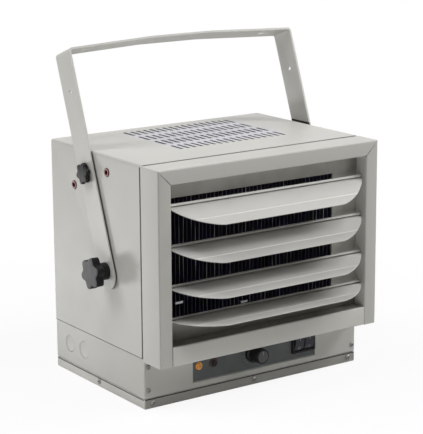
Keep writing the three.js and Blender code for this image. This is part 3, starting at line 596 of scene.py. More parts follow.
@dataclass(frozen=True)
class Spangled(Finish):
    """Hot-dip zinc on steel: flat crystals a few millimetres wide, each with its own grey."""

    crystal: float = 7.0

    def tint(self, tree: Tree, place: Socket) -> bpy.types.Node:
        """Colour: each crystal takes a grey between the two shades.

        Args:
            tree: the material's node tree.
            place: the point on the object.

        Returns:
            The node whose first output in use gives it.
        """
        cells = add_node(tree, "TexVoronoi", inputs={
            "Vector": place, "Scale": per_metre(self.crystal)})
        grey = add_node(tree, "RGBToBW", inputs={"Color": cells.outputs["Color"]})
        return add_node(tree, "Mix", {"data_type": "RGBA"}, {
            "Factor": grey, "A": linear(self.shade), "B": linear(self.colour)})


@dataclass(frozen=True)
class Zone:
    """A box in the object's millimetres inside which a coat has another colour."""

    low: Sequence[float]
    high: Sequence[float]
    colour: str
    fade: float = 0.2  # half the width of its soft rim
    share: float = 1.0


@dataclass(frozen=True)
class ZonedCoat(Finish):
    """A coat with other colours in some zones, such as painted shade on a cut edge or in a recess."""

    zones: tuple[Zone, ...] = ()

    def tint(self, tree: Tree, place: Socket) -> bpy.types.Node:
        """Colour: the coat's own, mixed with a zone's as far as the place is inside on every axis.

        Args:
            tree: the material's node tree.
            place: the point on the object.

        Returns:
            The node whose first output in use gives it.
        """
        colour = super().tint(tree, place)
        axes = add_node(tree, "SeparateXYZ", inputs={"Vector": place})
        for zone in self.zones:
            share: float | bpy.types.Node = zone.share
            for axis, low, high in zip("XYZ", zone.low, zone.high):
                half = (high - low) / 2
                offset = add_node(tree, "Math", {"operation": "SUBTRACT"}, {
                    0: axes.outputs[axis], 1: (low + high) / 2 * MM})
                away = add_node(tree, "Math", {"operation": "ABSOLUTE"}, {0: offset})
                inside = add_node(tree, "MapRange", inputs={
                    "Value": away, "From Min": (half - zone.fade) * MM,
                    "From Max": (half + zone.fade) * MM, "To Min": 1.0, "To Max": 0.0})
                share = add_node(tree, "Math", {"operation": "MULTIPLY"}, {0: share, 1: inside})
            colour = add_node(tree, "Mix", {"data_type": "RGBA"}, {
                "Factor": share, "A": colour, "B": linear(zone.colour)})
        return colour


@dataclass(frozen=True)
class CreasedCoat(Finish):
    """Powder coat with a painted highlight along the plate's crease."""

    fold_colour: str = "#edece7"
    attribute: str = "crease"

    def tint(self, tree: Tree, place: Socket) -> bpy.types.Node:
        """Colour: the coat's own, and a painted highlight on the crease where the mesh's attribute says
        so.

        Args:
            tree: the material's node tree.
            place: the point on the object.

        Returns:
            The node whose first output in use gives it.
        """
        fold = add_node(tree, "Attribute", {"attribute_name": self.attribute})
        return add_node(tree, "Mix", {"data_type": "RGBA"}, {
            "Factor": fold.outputs["Fac"], "A": super().tint(tree, place),
            "B": linear(self.fold_colour)})


@dataclass(frozen=True)
class FinStock(Finish):
    """Fins of a heating element: near black, with painted glints on the front edges of some of them."""

    edge_colour: str = "#a9a9a6"
    edge_place: float = -136.9  # the edge is what lies in front of this y
    pitch: float = 6.4
    streak: float = 60.0  # length of a painted glint
    pick: tuple[float, float] = (0.5, 0.74)  # noise values between which an edge takes the painted glint
    least: float = 0.05  # share of painted glint on the darkest edge

    def tint(self, tree: Tree, place: Socket) -> bpy.types.Node:
        """Colour: the dark one, and the painted glint on front edges that a stretched noise picks.

        Args:
            tree: the material's node tree.
            place: the point on the object.

        Returns:
            The node whose first output in use gives it.
        """
        axes = add_node(tree, "SeparateXYZ", inputs={"Vector": place})
        front = add_node(tree, "Math", {"operation": "LESS_THAN"}, {
            0: axes.outputs["Y"], 1: self.edge_place * MM})
        stretch = add_node(tree, "Mapping", inputs={
            "Vector": place, "Scale": (per_metre(self.pitch), 0.0, per_metre(self.streak))})
        chance = add_node(tree, "TexNoise", inputs={"Vector": stretch, "Scale": 1.0, "Detail": 1.0})
        picked = add_node(tree, "MapRange", inputs={
            "Value": chance, "From Min": self.pick[0], "From Max": self.pick[1], "To Min": self.least})
        share = add_node(tree, "Math", {"operation": "MULTIPLY"}, {0: front, 1: picked})
        return add_node(tree, "Mix", {"data_type": "RGBA"}, {
            "Factor": share, "A": super().tint(tree, place), "B": linear(self.edge_colour)})


# Polyester powder coat on folded steel: low sheen, slight orange peel
POWDER_COAT = ZonedCoat("powder_coated_steel", "#cac9c4", "#c6c5c0", 0.46, specular=0.35, mottle=90,
                        grain=1.8, relief=0.012)
# The same coat on the louvers, a shade lighter, with a painted highlight along their crease
LOUVER_COAT = CreasedCoat("powder_coated_louver", "#d4d3cf", "#d0cfcb", 0.44, specular=0.35, mottle=90,
                          grain=1.8, relief=0.012)
# The same coat darker and duller, as painted shade on the baffle behind the louvers and fins
SHADED_COAT = ZonedCoat("dusty_powder_coat", "#b1b0aa", "#a1a09a", 0.55, specular=0.25, mottle=40,
                        grain=1.8)
# Fins and tubes blackened by heat, with a violet temper colour in places and painted glints on the fins'
# front edges
TEMPERED_STEEL = FinStock("heat_blackened_steel", "#131316", "#1b1a36", 0.5, specular=0.3, mottle=16,
                          grain=0.9, relief=0.03)
# Fan motor and guard: black enamel brushed on before assembly, with a soft shine
BLACK_ENAMEL = Finish("black_enamelled_steel", "#242426", "#1d1d1f", 0.4, mottle=30, grain=1.2)
# Hot-dip zinc: bright grey metal, dulled in patches by its crystals
ZINC = Spangled("zinc_coated_steel", "#c2c5c6", "#9fa3a5", 0.38, metallic=0.95, grain=2.5, relief=0.01)
# Knobs and switches: moulded phenolic or ABS, whose fine spark-eroded texture dulls the shine
BLACK_PLASTIC = Finish("moulded_black_plastic", "#1b1b1d", "#161618", 0.4, specular=0.25, mottle=12,
                       grain=0.5, relief=0.012)
# Small knobs: the same plastic from a polished mould, which shows small bright spots
GLOSS_PLASTIC = Finish("polished_black_plastic", "#1c1c1f", "#141416", 0.25, 0.05, specular=0.28,
                       mottle=12, grain=2.5, relief=0.01)
# Faces of the big knobs: a coarse grain that looks dark grey and flat
KNOB_FACE = Finish("textured_grey_knob_face", "#6c6c6e", "#646466", 0.6, specular=0.25, mottle=9,
                   grain=0.6, relief=0.03)
# Cap of the thermostat knob: satin grey plastic
DIAL_FACE = Finish("satin_dial_face", "#4d4d4f", "#474749", 0.45, mottle=5, grain=0.4, relief=0.01)
# Rockers: smooth blue-black plastic with a soft shine
ROCKER_PLASTIC = Finish("moulded_rocker_plastic", "#2a2a38", "#232330", 0.3, mottle=6, grain=0.5,
                        relief=0.008)
# Glass-filled polyamide: dull mid grey
GREY_PLASTIC = Finish("moulded_grey_polyamide", "#6d6d6e", "#626263", 0.55, mottle=15, grain=0.6)
# Control overlay: printed polyester film on a steel plate, flat and satin
PANEL_FILM = Finish("printed_polyester_film", "#626666", "#5b5f5f", 0.5, specular=0.3, mottle=30,
                    grain=0.4, relief=0.006)
# Marks on panel and knob: screen-printed ink, pale grey and flat
PANEL_INK = Finish("screen_printed_ink", "#9ea1a3", "#94979a", 0.6, mottle=6, grain=0.4)
# Pilot lamp: dyed polycarbonate, which passes some light and shines
AMBER_LENS = ZonedCoat("amber_polycarbonate", "#ffb155", "#f59a3a", 0.18, mottle=5, grain=1.5, sockets=(
    ("Coat Weight", 0.3), ("Subsurface Weight", 0.3), ("Subsurface Scale", 0.002)))
# Bush of the reset button: red-brown phenolic with a soft shine
RESET_PLASTIC = Finish("moulded_red_brown_plastic", "#4a2d2b", "#3d2423", 0.35, mottle=5, grain=0.5)
# Threaded inserts: a red locking lacquer at the rim and in the bore, rubbed pale between them
RED_SEAL = Finish("red_sealing_lacquer", "#6a1c26", "#4a141b", 0.4, mottle=4, grain=0.8)
PALE_RING = Finish("lacquered_insert", "#b08f8b", "#94706d", 0.45, specular=0.25, mottle=4, grain=0.6)
# Fan: bare stamped sheet, silvery with a soft highlight
ALUMINIUM = Finish("stamped_aluminium", "#b4b7ba", "#a4a7aa", 0.36, metallic=0.95, mottle=25,
                   grain=1.2, relief=0.01)
# Terminals and spacers: unglazed ceramic is chalky, pressed fibre is brown and coarse
CERAMIC = Finish("unglazed_ceramic", "#d8d2c4", "#cac3b4", 0.75, mottle=8, grain=0.7)
FIBRE = Finish("pressed_fibre", "#6e5f4f", "#5e5143", 0.85, mottle=5, grain=0.5, relief=0.04)
# Screws: zinc plate dulled by handling, half metal to the eye
SCREW_ZINC = Finish("dulled_zinc_plate", "#a4a5a2", "#868783", 0.38, metallic=0.7, mottle=3, grain=0.8)
EDGE_DIRT_AND_SEAM_SHADE = "#37322e"  # a sheared edge drawn dark: partly its thin coat and dirt, partly painted shade of the seam beside it


def apply_finish(piece: Piece, finish: Finish) -> None:
    """Gives a piece one finish all over."""
    piece.data.materials.clear()
    piece.data.materials.append(finish.build())


def dress(piece: Piece, finish: Finish, body: str, stands_for: Sequence[str] = ()) -> Piece:
    """Gives a piece its finish and hands it to the frame.

    Args:
        piece: the piece, in place.
        finish: its finish.
        body: the body that it moves with.
        stands_for: nodes of the frame that it replaces.

    Returns:
        The piece.
    """
    apply_finish(piece, finish)
    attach(piece, body)
    if stands_for:
        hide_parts(*stands_for)
    log.info("%s rides on %s, %d faces", piece.name, body, len(piece.data.polygons))
    return piece


def smooth_piece(name: str, shape: Shape, finish: Finish, body: str,
                 stands_for: Sequence[str] = ()) -> Piece:
    """Makes a piece that is shaded smooth and dressed as it is, with the arguments of dress.

    Args:
        name: the piece's name.
        shape: its points and faces, in place.
        finish: its finish.
        body: the body that it moves with.
        stands_for: nodes of the frame that it replaces.

    Returns:
        The piece.
    """
    piece = new_object(name, shape)
    smooth(piece)
    return dress(piece, finish, body, stands_for)


def face_values(piece: Piece, name: str) -> Array:
    """Reads a three-number value of every face of a piece, such as its normal or its center.

    Args:
        piece: the piece.
        name: the property's name.

    Returns:
        Faces by 3.
    """
    values = np.empty(len(piece.data.polygons) * 3)
    piece.data.polygons.foreach_get(name, values)
    return values.reshape(-1, 3)


def mark(piece: Piece, finish: Finish, chosen: Array) -> None:
    """Gives a piece's chosen faces a second finish.

    Args:
        piece: the dressed piece.
        finish: the second finish.
        chosen: one boolean for each face.
    """
    piece.data.materials.append(finish.build())
    slots = chosen.astype(np.int32) * (len(piece.data.materials) - 1)
    piece.data.polygons.foreach_set("material_index", slots)


def keep_node(node: str, finish: Finish, edge: float = 0.3) -> None:
    """Finishes a node of the frame that is shown as it is.

    Args:
        node: the node's name.
        finish: its finish.
        edge: how far its edges are rounded.
    """
    piece = frame["nodes"][node]
    apply_finish(piece, finish)
    if edge > 0:
        soften(piece, edge, segments=1, weld=True)
    log.info("%s keeps its own solid", node)


# ---------------------------------------------------------------- casing


@dataclass
class Casing:
    """Top and sides in one folded sheet, the rear panel and the divider floor."""

    wall: float = 1.2
    bend: float = 2.8
    reveal: float = 3.5
    seam: float = 0.8  # the top's front edge lies this far behind the solid's, as a folded edge does
    vent_count: tuple[int, int] = (17, 4)  # slots along X, rows along Y
    vent_pitch: tuple[float, float] = (11.0, 41.0)
    vent_slot: tuple[float, float] = (5.0, 30.0)
    vent_centre: tuple[float, float] = (14.0, 22.0)
    vent_fade: float = 9.0  # half the soft rim of the tint round the vents
    insert_hole: float = 6.2
    pivot_hole: float = 5.2
    edge_depth: tuple[float, float, float] = (0.3, 2.1, 0.8)  # painted seam shade on the edges: roof, side fronts, bottom
    extent: Extent = field(default_factory=lambda: Extent.of("casing_wrap"))

    def build(self) -> None:
        """Makes the casing's pieces."""
        self.wrap()
        keep_node("rear_panel", POWDER_COAT, edge=0.4)
        keep_node("divider_floor", ZINC, edge=0)

    def vents(self) -> Shape:
        """Cutter for the vent field: round-ended slots in rows.

        Returns:
            All slots as one shape.
        """
        width, length = self.vent_slot
        slot = half_circles(length, width, 7)[:, ::-1] * [-1, 1]
        x, y = (centre + (np.arange(count) - (count - 1) / 2) * pitch for centre, count, pitch in
                zip(self.vent_centre, self.vent_count, self.vent_pitch))
        top = self.extent.high[2]
        return Shape.joined([prism(slot + [cx, cy], Axis.Z, top - CLEAR, top + CLEAR)
                             for cx in x for cy in y])

    def wrap(self) -> None:
        """The folded sheet, with its vents, its holes and the reveal behind the bezel."""
        low, high = self.extent.low, self.extent.high
        x, top = high[0] - self.wall / 2, high[2] - self.wall / 2
        path = eased([(-x, low[2]), (-x, top), (x, top), (x, low[2])], self.bend)
        sheet = bent_sheet(path, self.wall, Axis.Y, fixed(low[1] + self.seam), fixed(high[1]))
        piece = new_object("casing_shell", sheet)
        holes = [(Extent.of(f"lock_insert_left_{k}").centre[1:], self.insert_hole) for k in (1, 2, 3)]
        holes.append((joint_place("bracket_tilt")[1:], self.pivot_hole))
        cuts = [prism(circle(place, radius), Axis.X, low[0] - CLEAR, high[0] + CLEAR)
                for place, radius in holes]
        reach = self.bend * 2
        for side in Side:
            edge = side.value * high[0]
            cuts.append(box((edge - reach, low[1] - CLEAR, low[2] - CLEAR),
                            (edge + reach, low[1] + self.reveal, high[2] - self.bend)))
        carve(piece, Shape.joined([self.vents(), *cuts]))
        soften(piece, 0.25)
        dress(piece, self.coat(), "housing", ["casing_wrap"])

    def coat(self) -> ZonedCoat:
        """The powder coat, with painted seam shade on its cut edges and a pale lilac tint round the
        vents.

        Returns:
            The finish.
        """
        low, high = self.extent.low, self.extent.high
        roof_shade, side_shade, bottom_shade = self.edge_depth
        front, side_front, roof = low[1] + self.seam, low[1] + self.reveal, high[2] - 3
        half = (np.array(self.vent_count) - 1) / 2 * self.vent_pitch + self.vent_slot[1] / 4
        start, end = self.vent_centre - half, self.vent_centre + half
        # Painted shade: the roof's front edge, the sides' front edges and the bottom edge are darkened
        # for the seams with the bezel and the base.
        zones = (Zone((low[0], front - 1, roof), (high[0], front + roof_shade, roof + 4), "#b0aea9",
                      0.08),
                 Zone((low[0] - 1, side_front - 1, low[2] - 1),
                      (high[0] + 1, side_front + side_shade, roof), EDGE_DIRT_AND_SEAM_SHADE),
                 Zone(low - 1, (high[0] + 1, high[1], low[2] + bottom_shade), EDGE_DIRT_AND_SEAM_SHADE),
                 Zone((*start, roof), (*end, roof + 4), "#d4d4ea", self.vent_fade, 0.65))
        return replace(POWDER_COAT, name="powder_coated_casing", zones=zones)


# ---------------------------------------------------------------- bezel


@dataclass
class Bezel:
    """Deep frame round the outlet: mitred at its top corners, butted at the bottom."""

    wall: float = 1.2
    bend: float = 1.3
    mitre_gap: tuple[float, float] = (0.1, 0.85)  # at the outer and at the inner corner
    pin_hole: float = 2.1
    outer: Extent = field(default_factory=lambda: Extent.of("bezel_top_rail"))
    stile: Extent = field(default_factory=lambda: Extent.of("bezel_right_stile"))
    bottom: Extent = field(default_factory=lambda: Extent.of("bezel_bottom_rail"))
    return_rear: float = -139.1
    ledge: float = 4.0  # height of the painted shadow strip along the bottom rail's inner return

    def coat(self) -> ZonedCoat:
        """The powder coat, painted darker on the bezel's face as shade.

        Returns:
            The finish.
        """
        half, front = self.stile.high[0], self.outer.low[1]
        # Painted shade: the front face darker than the returns.
        face = Zone((-half - 1, front - 1, self.bottom.low[2] - 1),
                    (half + 1, front + self.bend, self.outer.high[2] + 1), "#bdbcb7", 0.6)
        return replace(POWDER_COAT, name="rubbed_bezel_coat", zones=(face,))

    def build(self) -> None:
        """Makes the four members."""
        self.top_rail()
        self.bottom_rail()
        for side in Side:
            self.upright(side)

    def rail_path(self, edge: float, inner: float) -> Array:
        """Section of a rail seen along X: outer return, face, inner return.

        Args:
            edge: height of the rail's outer edge.
            inner: height of its inner edge.

        Returns:
            The fold line in the middle of the sheet, in (y, z).
        """
        front, rear = self.outer.low[1] + self.wall / 2, self.outer.high[1]
        sign = math.copysign(self.wall / 2, edge - inner)
        return eased([(rear, edge - sign), (front, edge - sign), (front, inner + sign),
                      (self.return_rear, inner + sign)], self.bend)

    def top_rail(self) -> None:
        """Top member: its ends follow the mitre, so x depends on how far z is below the edge."""
        half, top = self.stile.high[0], self.outer.high[2]
        slope = self.stile.size[0] / self.outer.size[2]

        def end(flat: Array) -> Array:
            """Where the rail ends along X, for points of its section."""
            inward = (top - flat[:, 1]) * slope
            return half - inward - np.interp(inward, (0, self.stile.size[0]), self.mitre_gap)

        sheet = bent_sheet(self.rail_path(top, self.outer.low[2]), self.wall, Axis.X,
                           lambda flat: -end(flat), end)
        piece = new_object("bezel_top", sheet)
        soften(piece, 0.2)
        dress(piece, self.coat(), "housing", ["bezel_top_rail"])

    def bottom_rail(self) -> None:
        """Bottom member, between the uprights."""
        low, high = self.bottom.low, self.bottom.high
        sheet = bent_sheet(self.rail_path(low[2], high[2]), self.wall, Axis.X, fixed(low[0]),
                           fixed(high[0]))
        piece = new_object("bezel_bottom", sheet)
        soften(piece, 0.2)
        # Painted light and shadow: the rail a little lighter than the coat, and its ledge dark under the
        # lowest louver's shadow.
        ledge = Zone((low[0] - 1, low[1] + 2, high[2] - self.ledge), high + 4, "#73716c", 1.0)
        coat = replace(POWDER_COAT, name="powder_coated_sill", colour="#cfcec9", shade="#cbcac5",
                       zones=(ledge,))
        dress(piece, coat, "housing", ["bezel_bottom_rail"])

    def upright(self, side: Side) -> None:
        """One upright: its top end follows the mitre.

        Args:
            side: the upright's side.
        """
        low, high, top = self.stile.low, self.stile.high, self.outer.high[2]
        slope = self.outer.size[2] / self.stile.size[0]
        outside, inside, front = high[0] - self.wall / 2, low[0] + self.wall / 2, low[1] + self.wall / 2
        path = eased([(outside, high[1]), (outside, front), (inside, front), (inside, self.return_rear)],
                     self.bend) * [side.value, 1]

        def end(flat: Array) -> Array:
            """Where the upright ends along Z, for points of its section."""
            inward = high[0] - np.abs(flat[:, 0])
            return top - inward * slope - np.interp(inward, (0, self.stile.size[0]), self.mitre_gap)

        piece = new_object(f"bezel_{side.word}", bent_sheet(path, self.wall, Axis.Z, fixed(low[2]), end))
        places = [joint_place(f"louver_{k}_tilt")[1:] for k in (1, 2, 3, 4)]
        span = sorted((side.value * (low[0] - 3), side.value * (low[0] + 3)))
        carve(piece, Shape.joined([prism(circle(p, self.pin_hole, 20), Axis.X, *span) for p in places]))
        soften(piece, 0.2)
        dress(piece, self.coat(), "housing", [f"bezel_{side.word}_stile"])


# ---------------------------------------------------------------- louvers


@dataclass
class Louver:
    """One louver: rolled hem, flat plate, crease and upturned lip, with rounded ends."""

    number: int
    tilt: float  # degrees down at rest
    chord: float = 49.0
    wall: float = 1.1
    crease: float = 0.64  # its place, as a share of the chord
    crease_reach: float = 2.4  # how far its bend reaches to each side
    crease_bead: tuple[float, float] = (0.45, 0.8)  # height and half width of the bead on the crease
    lip_angle: float = 6.0  # degrees
    corner_length: float = 65.6  # how far a rounded corner reaches along X
    corner_power: float = 1.42  # of its superellipse
    hem: float = 2.6
    roll_steps: int = 26
    rise: float = 6.0  # length over which the plate rises from the roll to the axis
    pin_radius: float = 1.3
    pin_length: float = 4.0
    pin_root: float = 3.0  # how far a pin reaches into the plate

    def section(self) -> Array:
        """Section seen along X: a roll about the origin, then the plate towards -Y, then the lip.

        The roll is a circle through 240 degrees. The plate leaves it at its lowest point and
        rises to the axis by a cosine, turns up by the lip's angle beyond the crease, and has a
        bead there: height times exp(-(distance / width)^2).

        Returns:
            The line in the middle of the sheet, in (y, z).
        """
        roll = self.hem - self.wall / 2
        turn = np.radians(np.linspace(150, -90, self.roll_steps))
        curl = np.stack([roll * np.cos(turn), roll * np.sin(turn)], axis=-1)
        run = np.linspace(0, 1, 7)[1:]
        rise = np.stack([-run * self.rise, -roll * (1 + np.cos(np.pi * run)) / 2], axis=-1)
        fold, tail = self.chord * self.crease, self.chord * (1 - self.crease)
        slope = math.radians(self.lip_angle)
        plate = eased([(-10, 0), (-fold, 0), (-fold - tail * math.cos(slope), tail * math.sin(slope))],
                      [0, self.crease_reach, 0], steps=15)
        middle = np.linspace((-self.rise, 0), plate[1], 10)[1:-1]
        lip = np.linspace(plate[-2], plate[-1], 14)[1:]
        plate[:, 1] += self.crease_bead[0] * self.on_crease(-plate[:, 0])
        return np.vstack([curl, rise, middle, plate[1:-1], lip])

    def on_crease(self, depth: Array) -> Array:
        """1 on the crease and 0 away from it, for depths along the chord."""
        return np.exp(-((depth - self.chord * self.crease) / self.crease_bead[1]) ** 2)

    def width(self, depth: Array, half: float) -> Array:
        """Half the width at a depth d: (h - r) + r (1 - (d/c)^p)^(1/p), a superellipse corner.

        Args:
            depth: distances from the roll along the chord.
            half: half the width at the roll.

        Returns:
            Half widths.
        """
        share = np.clip(depth / self.chord, 0, 1)
        inward = (1 - share**self.corner_power) ** (1 / self.corner_power)
        return half - self.corner_length + self.corner_length * inward

    def build(self) -> None:
        """Makes the louver at its rest angle."""
        name = f"louver_{self.number}"
        half = Extent.of(name).high[0] - self.pin_length
        section = self.section()
        past_roll = np.arange(len(section)) >= self.roll_steps
        reach = self.width(-section[:, 0] * past_roll, half)
        share = np.sin(np.linspace(-1, 1, 49) * math.pi / 2)
        points = np.stack([reach[:, None] * share, section[:, :1] + 0 * share,
                           section[:, 1:] + 0 * share], axis=-1)
        piece = new_object(f"{name}_blade", Shape.grid(points))
        thicken(piece, self.wall)
        depth = np.empty(len(piece.data.vertices) * 3)
        piece.data.vertices.foreach_get("co", depth)
        # The attribute places the painted highlight along the crease.
        crease = piece.data.attributes.new(LOUVER_COAT.attribute, "FLOAT", "POINT")
        crease.data.foreach_set("value", self.on_crease(-depth[1::3] / MM))
        root, tip = half - self.pin_root, half + self.pin_length
        pin = turned(np.array([(0, root), (self.pin_radius, root), (self.pin_radius, tip), (0, tip)]),
                     20)
        pins = [pin.placed(facing((0, 0, 0), Axis.X, side.value)) for side in Side]
        pivots = new_object(f"{name}_pins", Shape.joined(pins))
        for part in (piece, pivots):
            move(part, swung(f"{name}_tilt", self.tilt))
        soften(piece, 0.25)
        smooth(pivots)
        dress(piece, LOUVER_COAT, name, [name])
        dress(pivots, ZINC, name)


# ---------------------------------------------------------------- heater core


@dataclass
class HeaterCore:
    """Baffle pan, finned heating element, its end plates, terminals and limit switch."""

    fin_pitch: float = 6.4
    fin_wall: float = 0.7
    lean: float = 0.7  # how far handling has bent the fins sideways
    tube: float = 4.0
    tubes: int = 3
    # left and right foot along X, and height
    tab_places: tuple[tuple[float, float, float], ...] = ((-144, -132, 148), (-36, -26, 131.5))
    seed: int = 7
    soot_top: float = 118.0  # z below which the pan is painted darker as shade
    soot_corner: tuple[float, float] = (149.0, 286.0)  # x and z of the top right corner, painted dark as shadow
    flange: float = 1.6  # depth of the pan's front face, behind which its flanges are painted dark as shade
    tab: tuple[float, float, float] = (1.1, 3.0, 0.6)  # reach to the front, width, wall
    fins: Extent = field(default_factory=lambda: Extent.of("fin_pack"))
    plate: Extent = field(default_factory=lambda: Extent.of("core_end_left"))

    def build(self) -> None:
        """Makes the core's pieces."""
        pan = Extent.of("baffle_pan")
        # Painted shade on the pan: darker low down, dark at the top right corner, and dark on the
        # flanges.
        zones = (Zone(pan.low - 20, (pan.high[0] + 20, pan.high[1], self.soot_top), "#7a7974", 12.0),
                 Zone((self.soot_corner[0], pan.low[1] - 1, self.soot_corner[1]), pan.high + 20,
                      "#4d4c48", 9.0),
                 Zone((pan.low[0] - 1, pan.low[1] + self.flange, pan.low[2] - 1), pan.high + 1,
                      "#3f3e3b"))
        keep_node("baffle_pan", replace(SHADED_COAT, name="dusty_baffle_coat", zones=zones), edge=0.4)
        keep_node("core_end_left", ZINC)
        keep_node("core_end_right", ZINC)
        keep_node("element_terminals", CERAMIC)
        keep_node("limit_switch", BLACK_PLASTIC)
        self.element()

    def element(self) -> None:
        """Upright fins, each bowed a little by chance, on three sheathed tubes.

        A fin stands at x + bow sin(w) + tilt sin(3 w) / 2, where w goes from 0 to pi up the fin.
        """
        chance = np.random.default_rng(self.seed)
        low, high = self.plate.low, self.plate.high
        span = (Extent.of("core_end_left").high[0], Extent.of("core_end_right").low[0])
        count = int((span[1] - span[0] - self.fin_pitch) / self.fin_pitch)
        start = (span[0] + span[1] - (count - 1) * self.fin_pitch) / 2
        height = np.linspace(low[2], high[2], 15)
        wave = (height - low[2]) / (high[2] - low[2]) * math.pi
        half, front, rear = self.fin_wall / 2, self.fins.low[1], self.fins.high[1]
        fins = []
        for number in range(count):
            bow, tilt = chance.normal(0, self.lean, 2)
            x = start + number * self.fin_pitch + bow * np.sin(wave) + tilt * np.sin(3 * wave) / 2
            corners = [(-half, front), (half, front), (half, rear), (-half, rear)]
            points = np.stack([np.stack([x + dx, 0 * x + y, height], axis=-1)
                               for dx, y in corners], axis=1)
            fins.append(Shape.grid(points, ring_columns=True, cap_rows=True))
        smooth_piece("heating_fins", Shape.joined(fins), TEMPERED_STEEL, "housing",
                     ["fin_pack"])
        heights = low[2] + (np.arange(self.tubes) + 0.5) * (high[2] - low[2]) / self.tubes
        left, right, radius = self.fins.low[0], self.fins.high[0], self.tube
        rod = turned(eased([(0, left), (radius, left), (radius, right), (0, right)], [0, 1, 1, 0]), 32)
        rods = [rod.placed(facing((0, (front + rear) / 2, z), Axis.X, 1)) for z in heights]
        smooth_piece("heating_tubes", Shape.joined(rods), TEMPERED_STEEL, "housing")
        self.tabs()

    def tabs(self) -> None:
        """Two bent tabs on the element's front, which hold its lowest tube: foot, bridge, foot."""
        reach, width, wall = self.tab
        root, front = self.fins.low[1] + 3, self.fins.low[1] - reach
        shapes = []
        for left, right, z in self.tab_places:
            path = eased([(left, root), (left, front), (right, front), (right, root)],
                         [0, 0.8, 0.8, 0], 4)
            shapes.append(bent_sheet(path, wall, Axis.Z, fixed(z - width / 2), fixed(z + width / 2)))
        smooth_piece("element_tabs", Shape.joined(shapes), ZINC, "housing")


# ---------------------------------------------------------------- fan


